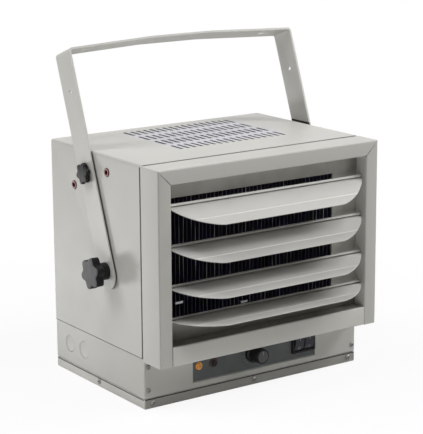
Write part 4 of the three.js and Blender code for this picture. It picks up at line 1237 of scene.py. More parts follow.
@dataclass
class FanUnit:
    """Fan, motor, shaft and bracket, the inlet ring and the wire guard behind it."""

    blades: int = 5
    blade_wall: float = 1.5
    blade_width: float = 62.0
    blade_pitch: float = 26.0  # degrees
    blade_camber: float = 2.5
    hub_radius: float = 17.0
    hub_length: float = 24.0
    tip_radius: float = 90.0
    guard_wire: float = 1.5
    guard_spoke: float = 2.0
    guard_inner: float = 6.0
    guard_gaps: int = 10
    guard_spokes: int = 6
    guard_turn: float = 7.5  # degrees from X to the first spoke
    motor_ribs: int = 6
    rib_pitch: float = 5.2
    rib_height: float = 1.4
    guard: Extent = field(default_factory=lambda: Extent.of("rear_guard"))

    def build(self) -> None:
        """Makes the fan's pieces."""
        for node in ("fan_ring", "motor_shaft", "motor_bracket"):
            keep_node(node, ZINC)
        self.rotor_piece()
        self.motor()
        self.guard_piece()

    def blade(self) -> Shape:
        """One blade: a patch between four curves in (radius, width), cambered and set at its pitch.

        A point at shares s across and t along is (1-s) lower(t) + s upper(t) + (1-t) root(s)
        + t tip(s), less the same mix of the four corners.

        Returns:
            The blade as an open surface.
        """
        root, tip, half = self.hub_radius * 0.6, self.tip_radius, self.blade_width / 2
        t = np.linspace(0, 1, 20)[None, :, None]
        s = np.linspace(0, 1, 14)[:, None, None]

        def arc(start: tuple, pull: tuple, end: tuple, share: Array) -> Array:
            """Parabola from the start to the end, drawn towards the pull."""
            first, middle, last = (np.array(point, float) for point in (start, pull, end))
            return (1 - share) ** 2 * first + 2 * share * (1 - share) * middle + share**2 * last

        a, b, c, d = (root, -half * 0.4), (tip, -half * 0.5), (root, half * 0.4), (tip * 0.8, half)
        edges = ((1 - s) * arc(a, (tip * 0.6, -half), b, t) + s * arc(c, (tip * 0.45, half), d, t)
                 + (1 - t) * arc(a, (root, 0), c, s) + t * arc(b, (tip * 1.02, half * 0.5), d, s))
        corners = ((1 - s) * (1 - t) * np.array(a) + (1 - s) * t * np.array(b)
                   + s * (1 - t) * np.array(c) + s * t * np.array(d))
        camber = self.blade_camber * np.sin(math.pi * s) * t
        points = np.concatenate([edges - corners, camber + 0 * s * t], axis=-1)
        return Shape.grid(points).placed(Matrix.Rotation(math.radians(self.blade_pitch), 4, "X"))

    def rotor_piece(self) -> None:
        """Hub and blades on the motor's shaft."""
        blades = [self.blade().placed(Matrix.Rotation(TURN * k / self.blades, 4, "Z"))
                  for k in range(self.blades)]
        wheel = new_object("fan_wheel", Shape.joined(blades))
        thicken(wheel, self.blade_wall)
        height, radius = self.hub_length / 2, self.hub_radius
        hub = new_object("fan_hub", turned(eased(
            [(0, -height), (radius, -height), (radius, height), (0, height)], [0, 2.5, 2.5, 0])))
        for part, nodes in ((wheel, ["fan_blade"]), (hub, [])):
            move(part, facing(joint_place("fan_spin"), Axis.Y, 1, spin=math.pi))
            smooth(part)
            dress(part, ALUMINIUM, "fan", nodes)

    def motor(self) -> None:
        """Enclosed motor: a ribbed barrel between two end bells."""
        can = Extent.of("motor")
        radius, length = can.size[0] / 2, can.size[1]
        waist, seat = radius - self.rib_height, Extent.of("motor_bracket").low[1] - can.low[1] - 0.3
        ribs = [(x, y + self.rib_pitch * k) for k in range(self.motor_ribs)
                for x, y in ((waist, 12), (radius, 12.8), (radius, 14.6), (waist, 15.4))]
        front = eased([(0, 0), (radius * 0.66, 0), (waist, 8)], [0, 3, 0])
        back = eased([(waist, seat - 3), (radius - 4, seat), (13, seat), (13, length), (4.3, length),
                      (4.3, length - 20), (0, length - 20)], [0, 1, 1, 1, 0.4, 0, 0])
        place = facing((can.centre[0], can.low[1], can.centre[2]), Axis.Y, 1)
        smooth_piece("motor_can", turned(np.vstack([front, ribs, back]), 72).placed(place), BLACK_ENAMEL,
                     "housing", ["motor"])

    def guard_piece(self) -> None:
        """Wire guard: rings crossed by heavier spokes, and a small boss in the middle."""
        centre, y = self.guard.centre[[0, 2]], self.guard.centre[1]
        outer = self.guard.size[0] / 2 - self.guard_wire
        wires = [wire(spread(Axis.Y, circle(centre, radius, 72), y), self.guard_wire, 8, True)
                 for radius in np.linspace(self.guard_inner, outer, self.guard_gaps + 1)]
        reach = np.linspace(self.guard_inner, outer, 3)[:, None]
        for k in range(self.guard_spokes):
            angle = TURN * k / self.guard_spokes + math.radians(self.guard_turn)
            line = centre + reach * np.array([math.cos(angle), math.sin(angle)])
            wires.append(wire(spread(Axis.Y, line, y), self.guard_spoke - 0.2, 10))
        smooth_piece("wire_guard", Shape.joined(wires), BLACK_ENAMEL, "housing",
                     ["rear_guard"])


# ---------------------------------------------------------------- wiring base


@dataclass
class WiringBase:
    """Wiring box with its joggled skirt, the bottom cover, screws, knockouts and inner parts."""

    wall: float = 1.2
    corner: float = 2.0
    corner_steps: int = 6
    skirt_inset: float = 2.1
    screw_head: float = 3.6
    cross: tuple[float, float] = (0.9, 4.2)  # width and length of the recess in a screw head
    screw_hole: float = 1.9
    knockouts: tuple[str, ...] = ("knockout_front", "knockout_rear")
    knockout_gap: float = 0.3
    walls: Extent = field(default_factory=lambda: Extent.of("base_box"))
    cover: Extent = field(default_factory=lambda: Extent.of("bottom_cover"))
    ledge: float = 14.5
    side_lip: float = 12.2
    flare: float = 0.8  # rounding of the window round the control plate
    lip_edge: tuple[float, float] = (0.9, 0.5)  # height of the painted seam shade: front lip, side lips
    head_rise: float = 1.9
    knockout_tab: float = 0.7  # angle of the first tab, in radians

    def build(self) -> None:
        """Makes the base's pieces."""
        self.box_piece()
        self.cover_piece()
        self.screws()
        for node in self.knockouts:
            self.knockout(node)
        keep_node("terminal_block", GREY_PLASTIC)
        keep_node("contactor", BLACK_PLASTIC)

    def around(self, profile: Array) -> Array:
        """Carries a profile of (outward offset, height) round the base's rounded rectangle.

        At a corner with centre c the point at angle a is c + (radius + offset) (cos a, sin a).

        Args:
            profile: n by 2.

        Returns:
            Stations by profile points by 3.
        """
        half, steps = self.walls.high[:2] - self.corner, self.corner_steps
        quarter = np.linspace(0, math.pi / 2, steps)
        angle = (quarter[None, :] + np.arange(4)[:, None] * math.pi / 2).ravel()
        centre = np.repeat(half * np.array([(1, 1), (-1, 1), (-1, -1), (1, -1)]), steps, axis=0)
        out = np.stack([np.cos(angle), np.sin(angle)], axis=-1)
        flat = centre[:, None] + (self.corner + profile[None, :, :1]) * out[:, None]
        return np.concatenate([flat, np.broadcast_to(profile[None, :, 1:], (*flat.shape[:2], 1))],
                              axis=-1)

    def screw_places(self) -> dict[str, tuple[Array, Axis, int]]:
        """Place and direction of every screw head, by node name.

        Returns:
            The place under the head, the axis and the sign of each.
        """
        places = {}
        for node in frame["nodes"]:
            if "_screw_" in node:
                left, right = (node.startswith(f"cover_screw_{side.word}") for side in Side)
                axis, sign = Axis.X if left or right else Axis.Y, 1 if right else -1
                centre = Extent.of(node).centre
                centre[axis.value] = (self.walls.high if sign > 0 else self.walls.low)[axis.value]
                places[node] = (centre, axis, sign)
        return places

    def screw_holes(self) -> list[Shape]:
        """Cutters for the screw holes."""
        drill = prism(circle((0, 0), self.screw_hole, 20), Axis.Z, -4, 4)
        return [drill.placed(facing(*place)) for place in self.screw_places().values()]

    def box_piece(self) -> None:
        """Walls of the base: one band, stepped in at the bottom so that it goes inside the cover."""
        top, bottom = self.walls.high[2], self.walls.low[2]
        half, inset = self.wall / 2, -self.skirt_inset
        mid = eased([(-half, top), (-half, self.ledge + 1.4), (inset, self.ledge + 0.4),
                     (inset, bottom)], [0, 0.5, 0.5, 0], 4)
        step = np.gradient(mid, axis=0)
        normal = unit(np.stack([-step[:, 1], step[:, 0]], axis=-1)) * half
        loop = np.vstack([mid + normal, (mid - normal)[::-1]])
        piece = new_object("base_walls",
                           Shape.grid(self.around(loop), ring_rows=True, ring_columns=True))
        opening, front, flare = Extent.of("control_plate"), self.walls.low[1], self.flare
        middle, reach = opening.centre[[0, 2]], opening.size[[0, 2]] / 2 - ControlPanel.lap
        corners = np.array([(-1, -1), (1, -1), (1, 1), (-1, 1)])
        loops = [(front - 1, flare + 1), (front, flare), (front + flare, 0), (opening.low[1], 0)]
        window = np.stack([spread(Axis.Y, middle + corners * (reach + out), y) for y, out in loops])
        cuts = [Shape.grid(window, ring_columns=True, cap_rows=True)]
        for disc in map(Extent.of, self.knockouts):
            cuts.append(prism(circle(disc.centre[1:], disc.size[1] / 2 + self.knockout_gap, 48), Axis.X,
                              disc.low[0] - CLEAR, disc.high[0] + CLEAR))
        carve(piece, Shape.joined([*cuts, *self.screw_holes()]))
        soften(piece, 0.2)
        dress(piece, POWDER_COAT, "housing", ["base_box"])

    def cover_piece(self) -> None:
        """Bottom cover: a tray whose side lips are lower than the front and rear ones."""
        low, high, wall = self.cover.low, self.cover.high, self.wall
        lip, floor_edge = high[2], 0.01 - self.corner
        outside = eased([(0, lip), (0, 0), (floor_edge, 0)], [0, 1.6, 0], 6)
        inside = [(floor_edge, wall), (-wall, wall), (-wall, lip)]
        rings = self.around(np.vstack([outside, inside]))
        shell = Shape.grid(rings, ring_rows=True)
        index = np.arange(rings.shape[0] * rings.shape[1]).reshape(rings.shape[:2])
        under, over = index[:, len(outside) - 1], index[:, len(outside)]
        edge = np.stack([index[:, 0], np.roll(index[:, 0], -1), np.roll(index[:, -1], -1),
                         index[:, -1]], 1)
        below, above = set(under.tolist()), set(over.tolist())
        shell.faces = [face for face in shell.faces if not (below & set(face) and above & set(face))]
        shell.faces += [under.tolist(), over[::-1].tolist(), *edge.tolist()]
        piece = new_object("base_cover", shell)
        clear = 3.0
        cuts = [box((x - clear, low[1] + clear, self.side_lip),
                    (x + clear, high[1] - clear, lip + clear)) for x in (low[0], high[0])]
        carve(piece, Shape.joined([*cuts, *self.screw_holes()]))
        soften(piece, 0.2)
        front_shade, side_shade = self.lip_edge
        # Painted shade: the front lip darker all over, and dark lines along the lips' top edges for the
        # seam under the base.
        zones = (Zone((low[0] + 1, low[1] - 1, low[2] - 1), (high[0] + 1, low[1] + 2, lip + 1),
                      "#a3a29d"),
                 Zone((low[0] + 1, low[1] - 1, lip - front_shade), (high[0] + 1, low[1] + 2, lip + 1),
                      EDGE_DIRT_AND_SEAM_SHADE, 0.1),
                 Zone((low[0] - 1, low[1] + clear, self.side_lip - side_shade),
                      (high[0] + 1, high[1] - clear, self.side_lip + 1), "#7d7873", 0.1))
        coat = replace(POWDER_COAT, name="powder_coated_cover", zones=zones)
        dress(piece, coat, "housing", ["bottom_cover"])

    def screws(self) -> None:
        """Pan-head screws with a cross recess, each turned its own way."""
        head, rise = self.screw_head, self.head_rise
        profile = eased([(0, -6), (1.2, -6), (1.6, -4.8), (1.6, 0.3), (head, 0.3), (head, 1.0),
                         (head * 0.62, rise), (0, rise + 0.1)], [0, 0.2, 0.3, 0.1, 0.1, 0.3, 0.6, 0], 4)
        width, length = self.cross
        for number, (node, (place, axis, sign)) in enumerate(self.screw_places().items()):
            piece = new_object(f"{node}_head", turned(profile, 40))
            for a, b in ((width, length), (length, width)):
                carve(piece, box((-a / 2, -b / 2, 0.7), (a / 2, b / 2, 4)))
            move(piece, facing(place, axis, sign, spin=0.5 + number * 0.83))
            smooth(piece, 35)
            dress(piece, SCREW_ZINC, "housing", [node])

    def knockout(self, node: str) -> None:
        """Knockout disc, half sheared out of the wall, held by two small tabs.

        Args:
            node: the node's name.
        """
        disc = Extent.of(node)
        radius = disc.size[1] / 2
        profile = eased([(0, -1.2), (radius, -1.2), (radius, -0.15), (radius - 1.6, -0.15),
                         (radius - 2.0, -0.4), (0, -0.4)], [0, 0.2, 0.25, 0.1, 0.1, 0], 4)
        tab = box((radius - 1, -1.2, -1.1), (radius + 0.5, 1.2, -0.3))
        tabs = [tab.placed(Matrix.Rotation(self.knockout_tab + turn, 4, "Z")) for turn in (0, math.pi)]
        place = facing((disc.low[0], disc.centre[1], disc.centre[2]), Axis.X, -1)
        smooth_piece(f"{node}_disc", Shape.joined([turned(profile, 56), *tabs]).placed(place),
                     POWDER_COAT, "housing", [node])


# ---------------------------------------------------------------- control panel


@dataclass
class ControlPanel:
    """Film-covered plate with a pilot lamp, a reset button, a thermostat knob and two rockers."""

    scale_radius: tuple[float, float] = (15.4, 17.6)
    scale_marks: int = 15
    scale_sweep: float = 280.0  # degrees
    ink: float = 0.06
    border: float = 0.9
    lap: float = 2.0  # how far the base's wall laps over the plate
    bulb: tuple[float, float] = (1.2, 0.9)  # half width of the bulb's shade in the lens, and its fade
    knob_grip: float = 10.6
    knob_bore: tuple[float, float] = (3.3, 7.3)  # radius, and depth below the knob's face
    knob_flutes: int = 18
    rocker_reach: float = 11.0  # from a rocker's pivot to its ends
    rocker_tip: float = 12.0  # degrees
    plate: Extent = field(default_factory=lambda: Extent.of("control_plate"))

    def build(self) -> None:
        """Makes the panel's pieces."""
        keep_node("control_plate", PANEL_FILM, edge=0.2)
        keep_node("thermostat_body", GREY_PLASTIC)
        self.print()
        self.lamp()
        self.reset()
        self.knob()
        self.rockers()

    def print(self) -> None:
        """Screen print: the marks of the thermostat's scale, and a border at the left and below."""
        centre, (inner, outer), ink = joint_place("thermostat_turn"), self.scale_radius, self.ink
        face, line, half = self.plate.low[1], self.border, self.scale_sweep / 2
        dial = facing((centre[0], face, centre[2]), Axis.Y, -1)
        stroke = box((-0.3, inner, 0), (0.3, outer, ink))
        marks = [stroke.placed(dial @ Matrix.Rotation(-angle, 4, "Z"))
                 for angle in np.radians(np.linspace(-half, half, self.scale_marks))]
        start, end = self.plate.low + self.lap, self.plate.high - self.lap
        marks += [box((start[0], face - ink, start[2]), (end[0], face + ink, start[2] + line)),
                  box((start[0], face - ink, start[2] + line), (start[0] + line, face + ink, end[2]))]
        dress(new_object("dial_marks", Shape.joined(marks)), PANEL_INK, "housing")

    def lamp(self) -> None:
        """Pilot lamp: a rounded dome inside a flat rim."""
        lens, face = Extent.of("indicator_lamp"), self.plate.low[1]
        radius, rise, rim = lens.size[0] / 2, face - lens.low[1], 1.2
        dome = np.linspace(0, math.pi / 2, 8)
        cap = np.stack([radius * 0.68 * np.cos(dome), rim + (rise - rim) * np.sin(dome)], axis=-1)
        profile = np.vstack([[(0, -9.5), (radius - 1, -9.5), (radius - 1, 0.3), (radius, 0.3),
                              (radius, 1.0), (radius - 0.5, 1.5), (radius * 0.74, rim)], cap])
        half, fade = self.bulb
        bulb = Zone(lens.centre - [half, 9, half], lens.centre + [half, 9, half], "#7d5330", fade, 0.85)
        place = facing((lens.centre[0], face, lens.centre[2]), Axis.Y, -1)
        smooth_piece("pilot_lamp", turned(profile, 48).placed(place), replace(AMBER_LENS, zones=(bulb,)),
                     "housing", ["indicator_lamp"])

    def reset(self) -> None:
        """Reset button in its bush."""
        bush, button, face = Extent.of("reset_bush"), Extent.of("reset_button"), self.plate.low[1]
        inner, outer, rise, out = (button.size[0] / 2, bush.size[0] / 2, face - bush.low[1],
                                   face - button.low[1])
        ring = eased([(inner + 0.3, -7.5), (outer - 1, -7.5), (outer - 1, 0.3), (outer, 0.3),
                      (outer, rise * 0.7), (outer - 1, rise), (inner + 0.3, rise)],
                     [0.1, 0.1, 0.1, 0.1, 0.4, 0.4, 0.3], 4, ring=True)
        cap = eased([(0, -5.5), (inner, -5.5), (inner, out), (0, out)], [0, 0.3, 0.9, 0], 6)
        place = facing((bush.centre[0], face, bush.centre[2]), Axis.Y, -1)
        smooth_piece("reset_collar", turned(ring, 48, ring=True).placed(place), RESET_PLASTIC, "housing",
                     ["reset_bush"])
        smooth_piece("reset_push", turned(cap, 40).placed(place), BLACK_PLASTIC, "reset_button",
                     ["reset_button"])

    def knob(self) -> None:
        """Thermostat knob: a skirt, a fluted grip and a grey disc let into its face.

        With n flutes of depth d, the radius at angle a is r - d |cos(n a / 2)|^6.
        """
        knob = Extent.of("thermostat_knob")
        skirt, rise, grip = knob.size[0] / 2, knob.size[1], self.knob_grip
        bore, depth = self.knob_bore
        # radius, height and depth of the flutes: the bore, the skirt, the grip, the face
        rows = np.array([(0.001, rise - depth, 0), (bore, rise - depth, 0), (bore, 0, 0),
                         (skirt - 0.4, 0, 0), (skirt, 0.4, 0), (skirt, 4.0, 0), (skirt - 0.7, 4.8, 0),
                         (grip + 0.9, 6.0, 0.2), (grip + 0.5, 8.0, 0.6), (grip, rise - 1.2, 0.6),
                         (grip - 0.5, rise - 0.3, 0.4), (grip - 1.3, rise, 0), (grip - 1.9, rise, 0),
                         (grip - 2.1, rise - 0.5, 0), (0.001, rise - 0.5, 0)])
        radius, height, flute = rows[:, :1], rows[:, 1:2], rows[:, 2:]
        steps = self.knob_flutes * 10
        angle = np.arange(steps) * TURN / steps
        ripple = -np.abs(np.cos(angle * self.knob_flutes / 2)) ** 6
        shape = Shape.grid(about_z(radius + flute * ripple, height, angle), ring_columns=True)
        place = facing((knob.centre[0], knob.high[1], knob.centre[2]), Axis.Y, -1)
        smooth_piece("thermostat_grip", shape.placed(place), BLACK_PLASTIC, "thermostat_knob",
                     ["thermostat_knob"])
        inset = grip - 2.2
        cap = eased([(0, rise - 0.45), (inset, rise - 0.45), (inset, rise), (0, rise + 0.05)],
                    [0, 0.1, 0.25, 0], 4)
        smooth_piece("thermostat_cap", turned(cap, 64).placed(place), DIAL_FACE, "thermostat_knob")
        line = box((-0.45, 3.0, rise - 0.02), (0.45, grip - 2.8, rise + 0.09)).placed(place)
        dress(new_object("thermostat_pointer", line), PANEL_INK, "thermostat_knob")

    def rockers(self) -> None:
        """Rocker frame with its two rockers, and the bar and ring marks on them."""
        keep_node("rocker_housing", BLACK_PLASTIC, edge=0.5)
        edge = 2.9
        end = math.sqrt(self.rocker_reach**2 - edge**2)
        outline = eased([(-end, edge), (-2.5, 4.1), (2.5, 4.1), (end, edge), (end, -1), (0, -5),
                         (-end, -1)], [0.8, 2, 2, 0.8, 0.5, 2, 0.5], 6, ring=True)
        section = np.stack([-outline[:, 1], outline[:, 0]], axis=-1)
        bar = box((-0.5, -3.62, 4.6), (0.5, -3.5, 8.2))
        ring = wire(spread(Axis.Y, circle((0, -6.3), 2.0, 24), -3.55), 0.35, 6, ring=True)
        for side in Side:
            name = f"rocker_{side.word}"
            half, tip = Extent.of(name).size[0] / 2, swung(f"{name}_rock", self.rocker_tip)
            piece = new_object(f"{name}_key", prism(section, Axis.X, -half, half).placed(tip))
            soften(piece, 0.35)
            dress(piece, ROCKER_PLASTIC, name, [name])
            smooth_piece(f"{name}_marks", Shape.joined([bar, ring]).placed(tip), PANEL_INK, name)


# ---------------------------------------------------------------- yoke bracket


@dataclass
class HandKnob:
    """Moulded hand knob with six lobes on a hub, and its steel stud."""

    node: str
    radius: float
    height: float
    hub: float
    hub_height: float
    stud: float
    stud_length: float
    turn: float  # angle of a lobe at rest, in degrees
    face: Finish
    body: Finish
    lobes: int = 6
    valley: float = 0.75  # valley radius as a share of the lobe radius
    edge: float = 1.8

    def profile(self) -> Array:
        """Half section of the head as (share of the radius, height), a quarter circle at each rim.

        Returns:
            The half section from the hub outwards.
        """
        arc = np.linspace(0, math.pi / 2, 6)
        inset = 1 - (1 - np.stack([np.sin(arc), np.cos(arc)], axis=-1)) * self.edge / self.radius
        low, high = self.hub_height, self.hub_height + self.height
        lower = np.stack([inset[:, 0], low + self.edge * (1 - np.sin(arc[::-1]))], axis=-1)
        upper = np.stack([inset[:, 1], high - self.edge * (1 - np.sin(arc))], axis=-1)
        return np.vstack([lower, upper])

    def build(self, matrix: Matrix) -> None:
        """Makes the knob: at angle a its head reaches r (v + (1 - v) (1 + cos(n (a - turn))) / 2).

        Here n is the number of lobes and v the valleys' share of the radius.

        Args:
            matrix: takes the knob from its own Z, which points out, to its place.
        """
        steps = self.lobes * 24
        angle = np.arange(steps) * TURN / steps
        wave = (1 + np.cos(self.lobes * (angle - math.radians(self.turn)))) / 2
        profile, low = self.profile(), self.hub_height
        reach = (self.valley + (1 - self.valley) * wave)[None, :] * profile[:, :1] * self.radius
        head = Shape.grid(about_z(reach, profile[:, 1:], angle), ring_columns=True, cap_rows=True)
        hub = eased([(0, 0.3), (self.hub, 0.3), (self.hub, low + 1.5), (0, low + 1.5)], [0, 0.3, 0, 0])
        piece = new_object(f"{self.node}_grip", Shape.joined([head, turned(hub, 48)]))
        on_face = face_values(piece, "center")[:, 2] / MM > low + self.height - self.edge * 0.75
        move(piece, matrix)
        smooth(piece, 40)
        dress(piece, self.body, self.node, [self.node])
        mark(piece, self.face, on_face)
        stud = eased([(0, -self.stud_length), (self.stud, -self.stud_length), (self.stud, 0.6),
                      (0, 0.6)], [0, 0.5, 0, 0], 4)
        smooth_piece(f"{self.node}_stud", turned(stud, 32).placed(matrix), ZINC, self.node)


@dataclass
class YokeBracket:
    """Bent strip that hangs the heater, with its knobs, spacers and the inserts in the housing."""

    wall: float = 3.0
    half_width: float = 20.0
    lean: float = 20.0  # degrees towards the rear at rest
    corner_height: float = 308.0  # of the bends' outside above the pivot
    rise: float = 6.0  # from the bends to the level middle of the crosspiece
    flat: float = 100.0  # length of that level middle
    end_offset: float = 6.0  # from the pivot down to the centre of an arm's round end
    lock_radius: float = 136.5
    insert_bevel: float = 1.0
    arm_hole: tuple[float, float] = (250.0, 3.2)  # height above the pivot, and radius
    soot_depth: tuple[float, float] = (0.5, 1.2)  # how far the arms are painted dark as shade, in and out of the gap
    knob_length: float = 27.0  # of a pivot knob without its stud
    lock_hole: float = 3.5
    pivot_hole: float = 5.2
    slot: tuple[float, float, float] = (37.6, 16.0, 8.0)  # inset from the arm's outside, length, width
    extent: Extent = field(default_factory=lambda: Extent.of("yoke_bracket"))

    @property
    def turn(self) -> Matrix:
        """Takes the yoke's own frame, upright on its pivot, to its rest pose."""
        return swung("bracket_tilt", -self.lean)

    def arm(self, side: Side) -> float:
        """Outside of an arm, along X."""
        return float(self.extent.low[0] if side is Side.LEFT else self.extent.high[0])

    def build(self) -> None:
        """Makes the yoke's pieces."""
        self.strip()
        for side in Side:
            keep_node(f"pivot_spacer_{side.word}", FIBRE)
            node = f"pivot_knob_{side.word}"
            HandKnob(node, radius=22.5, height=13.0, hub=12.0, hub_height=14.0, stud=4.9,
                     stud_length=Extent.of(node).size[0] - self.knob_length, turn=21.0, face=KNOB_FACE,
                     body=BLACK_PLASTIC).build(swung("bracket_tilt", 0) @ self.out(side, 0))
            HandKnob(f"lock_knob_{side.word}", radius=15.5, height=6.5, hub=7.0, hub_height=1.5,
                     stud=3.2, stud_length=2.7, turn=1.0, face=GLOSS_PLASTIC,
                     body=GLOSS_PLASTIC).build(self.turn @ self.out(side, self.lock_radius))
            for number in (1, 2, 3):
                self.insert(f"lock_insert_{side.word}_{number}", side)

    def out(self, side: Side, height: float) -> Matrix:
        """Takes a knob to the outside of an arm, at a height above the pivot."""
        return facing((self.arm(side), 0, height), Axis.X, side.value)

    def strip(self) -> None:
        """The strip: a mid-surface over (path, width), whose ends narrow as a half circle does.

        Along an arm the half width at height z is sqrt(R^2 - (z + e)^2) below the end's centre.
        """
        half, foot = self.wall / 2, -self.end_offset
        left, right = self.arm(Side.LEFT) + half, self.arm(Side.RIGHT) - half
        top, flat = self.corner_height - half, self.flat / 2
        bends = eased([(left, foot), (left, top), (-flat, top + self.rise), (flat, top + self.rise),
                       (right, top), (right, foot)], [0, 4.5, 5, 5, 4.5, 0], 7)
        sweep = np.linspace(math.pi / 2, 0, 12)[:-1]
        drop, narrow = foot - self.half_width * np.sin(sweep), self.half_width * np.cos(sweep)
        first, last = (np.stack([np.full_like(drop, x), drop], axis=-1) for x in (left, right))
        path = np.vstack([first, bends, last[::-1]])
        width = np.concatenate([narrow, np.full(len(bends), self.half_width), narrow[::-1]])
        share = np.linspace(-1, 1, 5)
        points = np.stack([path[:, :1] + 0 * share, width[:, None] * share, path[:, 1:] + 0 * share],
                          axis=-1)
        piece = new_object("yoke_strip", Shape.grid(points))
        thicken(piece, self.wall)
        ends = (self.arm(Side.LEFT) - CLEAR, self.arm(Side.RIGHT) + CLEAR)
        holes = [(0, self.pivot_hole), (self.lock_radius, self.lock_hole), self.arm_hole]
        cuts = [prism(circle((0, z), radius, 36), Axis.X, *ends) for z, radius in holes]
        inset, length, breadth = self.slot
        for side in Side:
            loop = half_circles(length, breadth, 9) + [self.arm(side) - side.value * inset, 0]
            cuts.append(prism(loop, Axis.Z, top - 15, top + 25))
        carve(piece, Shape.joined(cuts))
        move(piece, self.turn)
        soften(piece, 0.5)
        dress(piece, self.coat(), "yoke", ["yoke_bracket"])

    def coat(self) -> ZonedCoat:
        """The powder coat, a little lighter as painted light, with painted shade where the arms' edges
        face the gap to the casing.

        Returns:
            The finish.
        """
        casing, (inward, outward), zones = Extent.of("casing_wrap"), self.soot_depth, []
        for side in Side:
            inner = self.arm(side) - side.value * self.wall
            x = sorted((inner - side.value * inward, inner + side.value * outward))
            zones.append(Zone((x[0], casing.low[1], 0), (x[1], *casing.high[1:]), "#23221f", 0.1))
        # Painted light: the bracket's coat is lighter than the casing's.
        return replace(POWDER_COAT, name="powder_coated_bracket", colour="#d2d1cc", shade="#cecdc8",
                       zones=tuple(zones))

    def insert(self, node: str, side: Side) -> None:
        """Threaded insert: a pale flange, sealed in red at its rim and in its bore.

        Args:
            node: the node's name.
            side: the side on which it sits.
        """
        extent = Extent.of(node)
        flange, barrel, bore = extent.size[1] / 2 - self.insert_bevel, 5.9, 3.2
        face = extent.size[0] - 8
        outline = eased([(bore, -8), (barrel, -8), (barrel, 0.3), (flange, 0.3), (flange, face),
                         (bore + 0.5, face), (bore, face - 0.5)],
                        [0.1, 0.1, 0.1, 0.1, 0.3, 0.1, 0.1], 4, ring=True)
        outer = extent.low[0] if side is Side.LEFT else extent.high[0]
        place = facing((outer - side.value * face, *extent.centre[1:]), Axis.X, side.value)
        piece = smooth_piece(f"{node}_bush", turned(outline, 40, ring=True).placed(place), RED_SEAL,
                             "housing", [node])
        radius = np.hypot(*(face_values(piece, "center") / MM - extent.centre).T[1:])
        flat = np.abs(face_values(piece, "normal")[:, 0]) > 0.5
        mark(piece, PALE_RING, flat & (radius > bore + 0.8) & (radius < flange - 0.9))


# ---------------------------------------------------------------- studio


def outward(azimuth: float, elevation: float) -> Array:
    """Unit vector at an azimuth from the outlet's direction, positive towards +X, and an elevation."""
    turn, lift = math.radians(azimuth), math.radians(elevation)
    return np.array([math.sin(turn) * math.cos(lift), -math.cos(turn) * math.cos(lift), math.sin(lift)])


@dataclass(frozen=True)
class Softbox:
    """A square soft lamp that looks at the heater."""

    name: str
    azimuth: float
    elevation: float
    distance: float  # metres
    size: float  # metres along an edge
    level: float  # share of white that a white card at the heater would show

    def build(self, middle: Sequence[float]) -> None:
        """Adds the lamp: P watts throw P / (pi^2 d^2) on a card that faces it at a distance d.

        Args:
            middle: where it looks, in metres.
        """
        light = bpy.data.lights.new(self.name, "AREA")
        light.size = self.size
        light.energy = self.level * (math.pi * self.distance) ** 2
        way = Vector(outward(self.azimuth, self.elevation))
        lamp = bpy.data.objects.new(self.name, light)
        lamp.location = Vector(middle) + way * self.distance
        lamp.rotation_euler = (-way).to_track_quat("-Z", "Y").to_euler()
        bpy.context.scene.collection.objects.link(lamp)


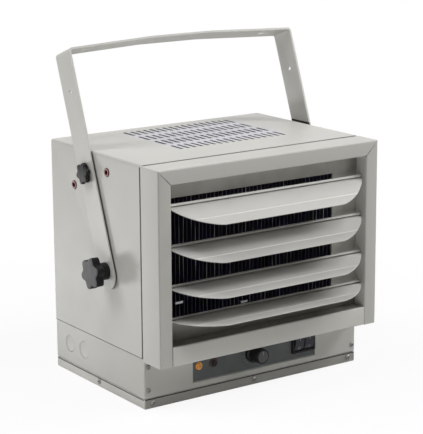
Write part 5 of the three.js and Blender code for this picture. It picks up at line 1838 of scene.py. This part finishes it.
@dataclass
class Studio:
    """Pale floor, soft lamps, white surroundings and the camera at the photograph's angle."""

    azimuth: float = -34.72
    elevation: float = 13.29
    roll: float = -0.36
    distance: float = 2200.0
    target: tuple[float, float, float] = (-100.8, -161.1, 264.1)
    focal_pixels: float = 1670.3
    image_height: float = 434.0
    sensor: float = 36.0
    middle: tuple[float, float, float] = (0.0, -0.05, 0.2)  # metres; where the lamps look
    ambient: float = 0.03
    floor_size: float = 6000.0  # from the middle to each edge
    floor_depth: float = 0.2  # how far the floor lies below the heater
    floor_colour: str = "#e6e6e4"  # what the floor throws back on the heater
    shadow_share: float = 0.1  # how much of the floor's own shading the camera sees
    shadow_reach: tuple[float, float] = (0.25, 0.9)  # metres from the middle over which it fades
    lamps: tuple[Softbox, ...] = (
        Softbox("key_softbox", azimuth=25, elevation=58, distance=3.0, size=1.0, level=0.23),
        Softbox("right_softbox", azimuth=60, elevation=35, distance=3.4, size=1.2, level=0.46),
        Softbox("rear_left_softbox", azimuth=-120, elevation=48, distance=3.6, size=1.3, level=0.35),
        Softbox("high_left_softbox", azimuth=-80, elevation=75, distance=3.0, size=1.0, level=0.26),
        Softbox("low_left_lamp", azimuth=-149, elevation=-14, distance=3.4, size=0.55, level=0.165),
        Softbox("low_front_reflector", azimuth=-50, elevation=-22, distance=3.4, size=1.4, level=0.09))

    def build(self) -> None:
        """Makes the surroundings."""
        bpy.context.scene.view_settings.view_transform = "Standard"
        self.floor()
        self.world()
        for lamp in self.lamps:
            lamp.build(self.middle)
        self.camera()

    def floor(self) -> None:
        """Pale floor: white for the camera, apart from the heater's shadow, and grey for its bounce."""
        size, depth = self.floor_size, -self.floor_depth
        corners = np.array([[(-size, -size, depth), (size, -size, depth)],
                            [(-size, size, depth), (size, size, depth)]])
        floor = new_object("studio_floor", Shape.grid(corners))
        floor.visible_shadow = False
        material = bpy.data.materials.new("studio_floor_paint")
        material.use_nodes = True
        tree = material.node_tree
        tree.nodes.clear()
        seen = add_node(tree, "LightPath").outputs["Is Camera Ray"]
        paint = add_node(tree, "Mix", {"data_type": "RGBA"}, {
            "Factor": seen, "A": linear(self.floor_colour), "B": linear("#fafafa")})
        shaded = add_node(tree, "BsdfDiffuse", inputs={"Color": paint})
        white = add_node(tree, "Emission", inputs={"Color": (1, 1, 1, 1), "Strength": 1.0})
        place = add_node(tree, "TexCoord").outputs["Object"]
        away = add_node(tree, "VectorMath", {"operation": "LENGTH"}, {0: place})
        fade = add_node(tree, "MapRange", {"interpolation_type": "SMOOTHSTEP"}, {
            "Value": away.outputs["Value"], "From Min": self.shadow_reach[0],
            "From Max": self.shadow_reach[1], "To Min": 1 - self.shadow_share, "To Max": 1.0})
        share = add_node(tree, "Math", {"operation": "MULTIPLY"}, {0: seen, 1: fade})
        mix = add_node(tree, "MixShader", inputs={0: share, 1: shaded, 2: white})
        add_node(tree, "OutputMaterial", inputs={"Surface": mix})
        floor.data.materials.append(material)

    def world(self) -> None:
        """White where the camera, a reflection or glass sees it, and a soft grey light otherwise."""
        world = bpy.data.worlds.new("studio_world")
        bpy.context.scene.world = world
        world.use_nodes = True
        tree = world.node_tree
        tree.nodes.clear()
        ray = add_node(tree, "LightPath").outputs
        seen = add_node(tree, "Math", {"operation": "MAXIMUM"}, {
            0: ray["Is Camera Ray"], 1: ray["Is Glossy Ray"]})
        seen = add_node(tree, "Math", {"operation": "MAXIMUM"}, {0: seen, 1: ray["Is Transmission Ray"]})
        white = add_node(tree, "Background", inputs={"Color": (1, 1, 1, 1), "Strength": 1.0})
        soft = add_node(tree, "Background", inputs={
            "Color": linear("#f4f4f3"), "Strength": self.ambient})
        mix = add_node(tree, "MixShader", inputs={0: seen, 1: soft, 2: white})
        add_node(tree, "OutputWorld", inputs={"Surface": mix})

    def camera(self) -> None:
        """Camera: looks back along the direction given by azimuth and elevation, turned by the roll."""
        back = outward(self.azimuth, self.elevation)
        right = unit(np.cross([0, 0, 1], back))
        up, roll = np.cross(back, right), math.radians(self.roll)
        across = math.cos(roll) * right + math.sin(roll) * up
        above = -math.sin(roll) * right + math.cos(roll) * up
        data = bpy.data.cameras.new("photo_camera")
        data.sensor_fit = "VERTICAL"
        data.sensor_height = data.sensor_width = self.sensor
        data.lens = self.focal_pixels * self.sensor / self.image_height
        camera = bpy.data.objects.new("photo_camera", data)
        place = (np.array(self.target) + back * self.distance) * MM
        basis = Matrix(np.stack([across, above, back], axis=1).tolist()).to_4x4()
        camera.matrix_world = Matrix.Translation(Vector(place)) @ basis
        bpy.context.scene.collection.objects.link(camera)
        bpy.context.scene.camera = camera


def main() -> None:
    """Builds every sub-assembly in order, then the studio."""
    logging.basicConfig(level=logging.INFO, format="%(message)s")
    louvers = [Louver(number, tilt) for number, tilt in enumerate((32.2, 27.2, 18.7, 8.7), start=1)]
    for assembly in (Casing(), Bezel(), *louvers, HeaterCore(), FanUnit(), WiringBase(), ControlPanel(),
                     YokeBracket(), Studio()):
        log.info("%s:", type(assembly).__name__)
        assembly.build()
    bpy.context.view_layer.update()


if __name__ == "__main__":
    main()
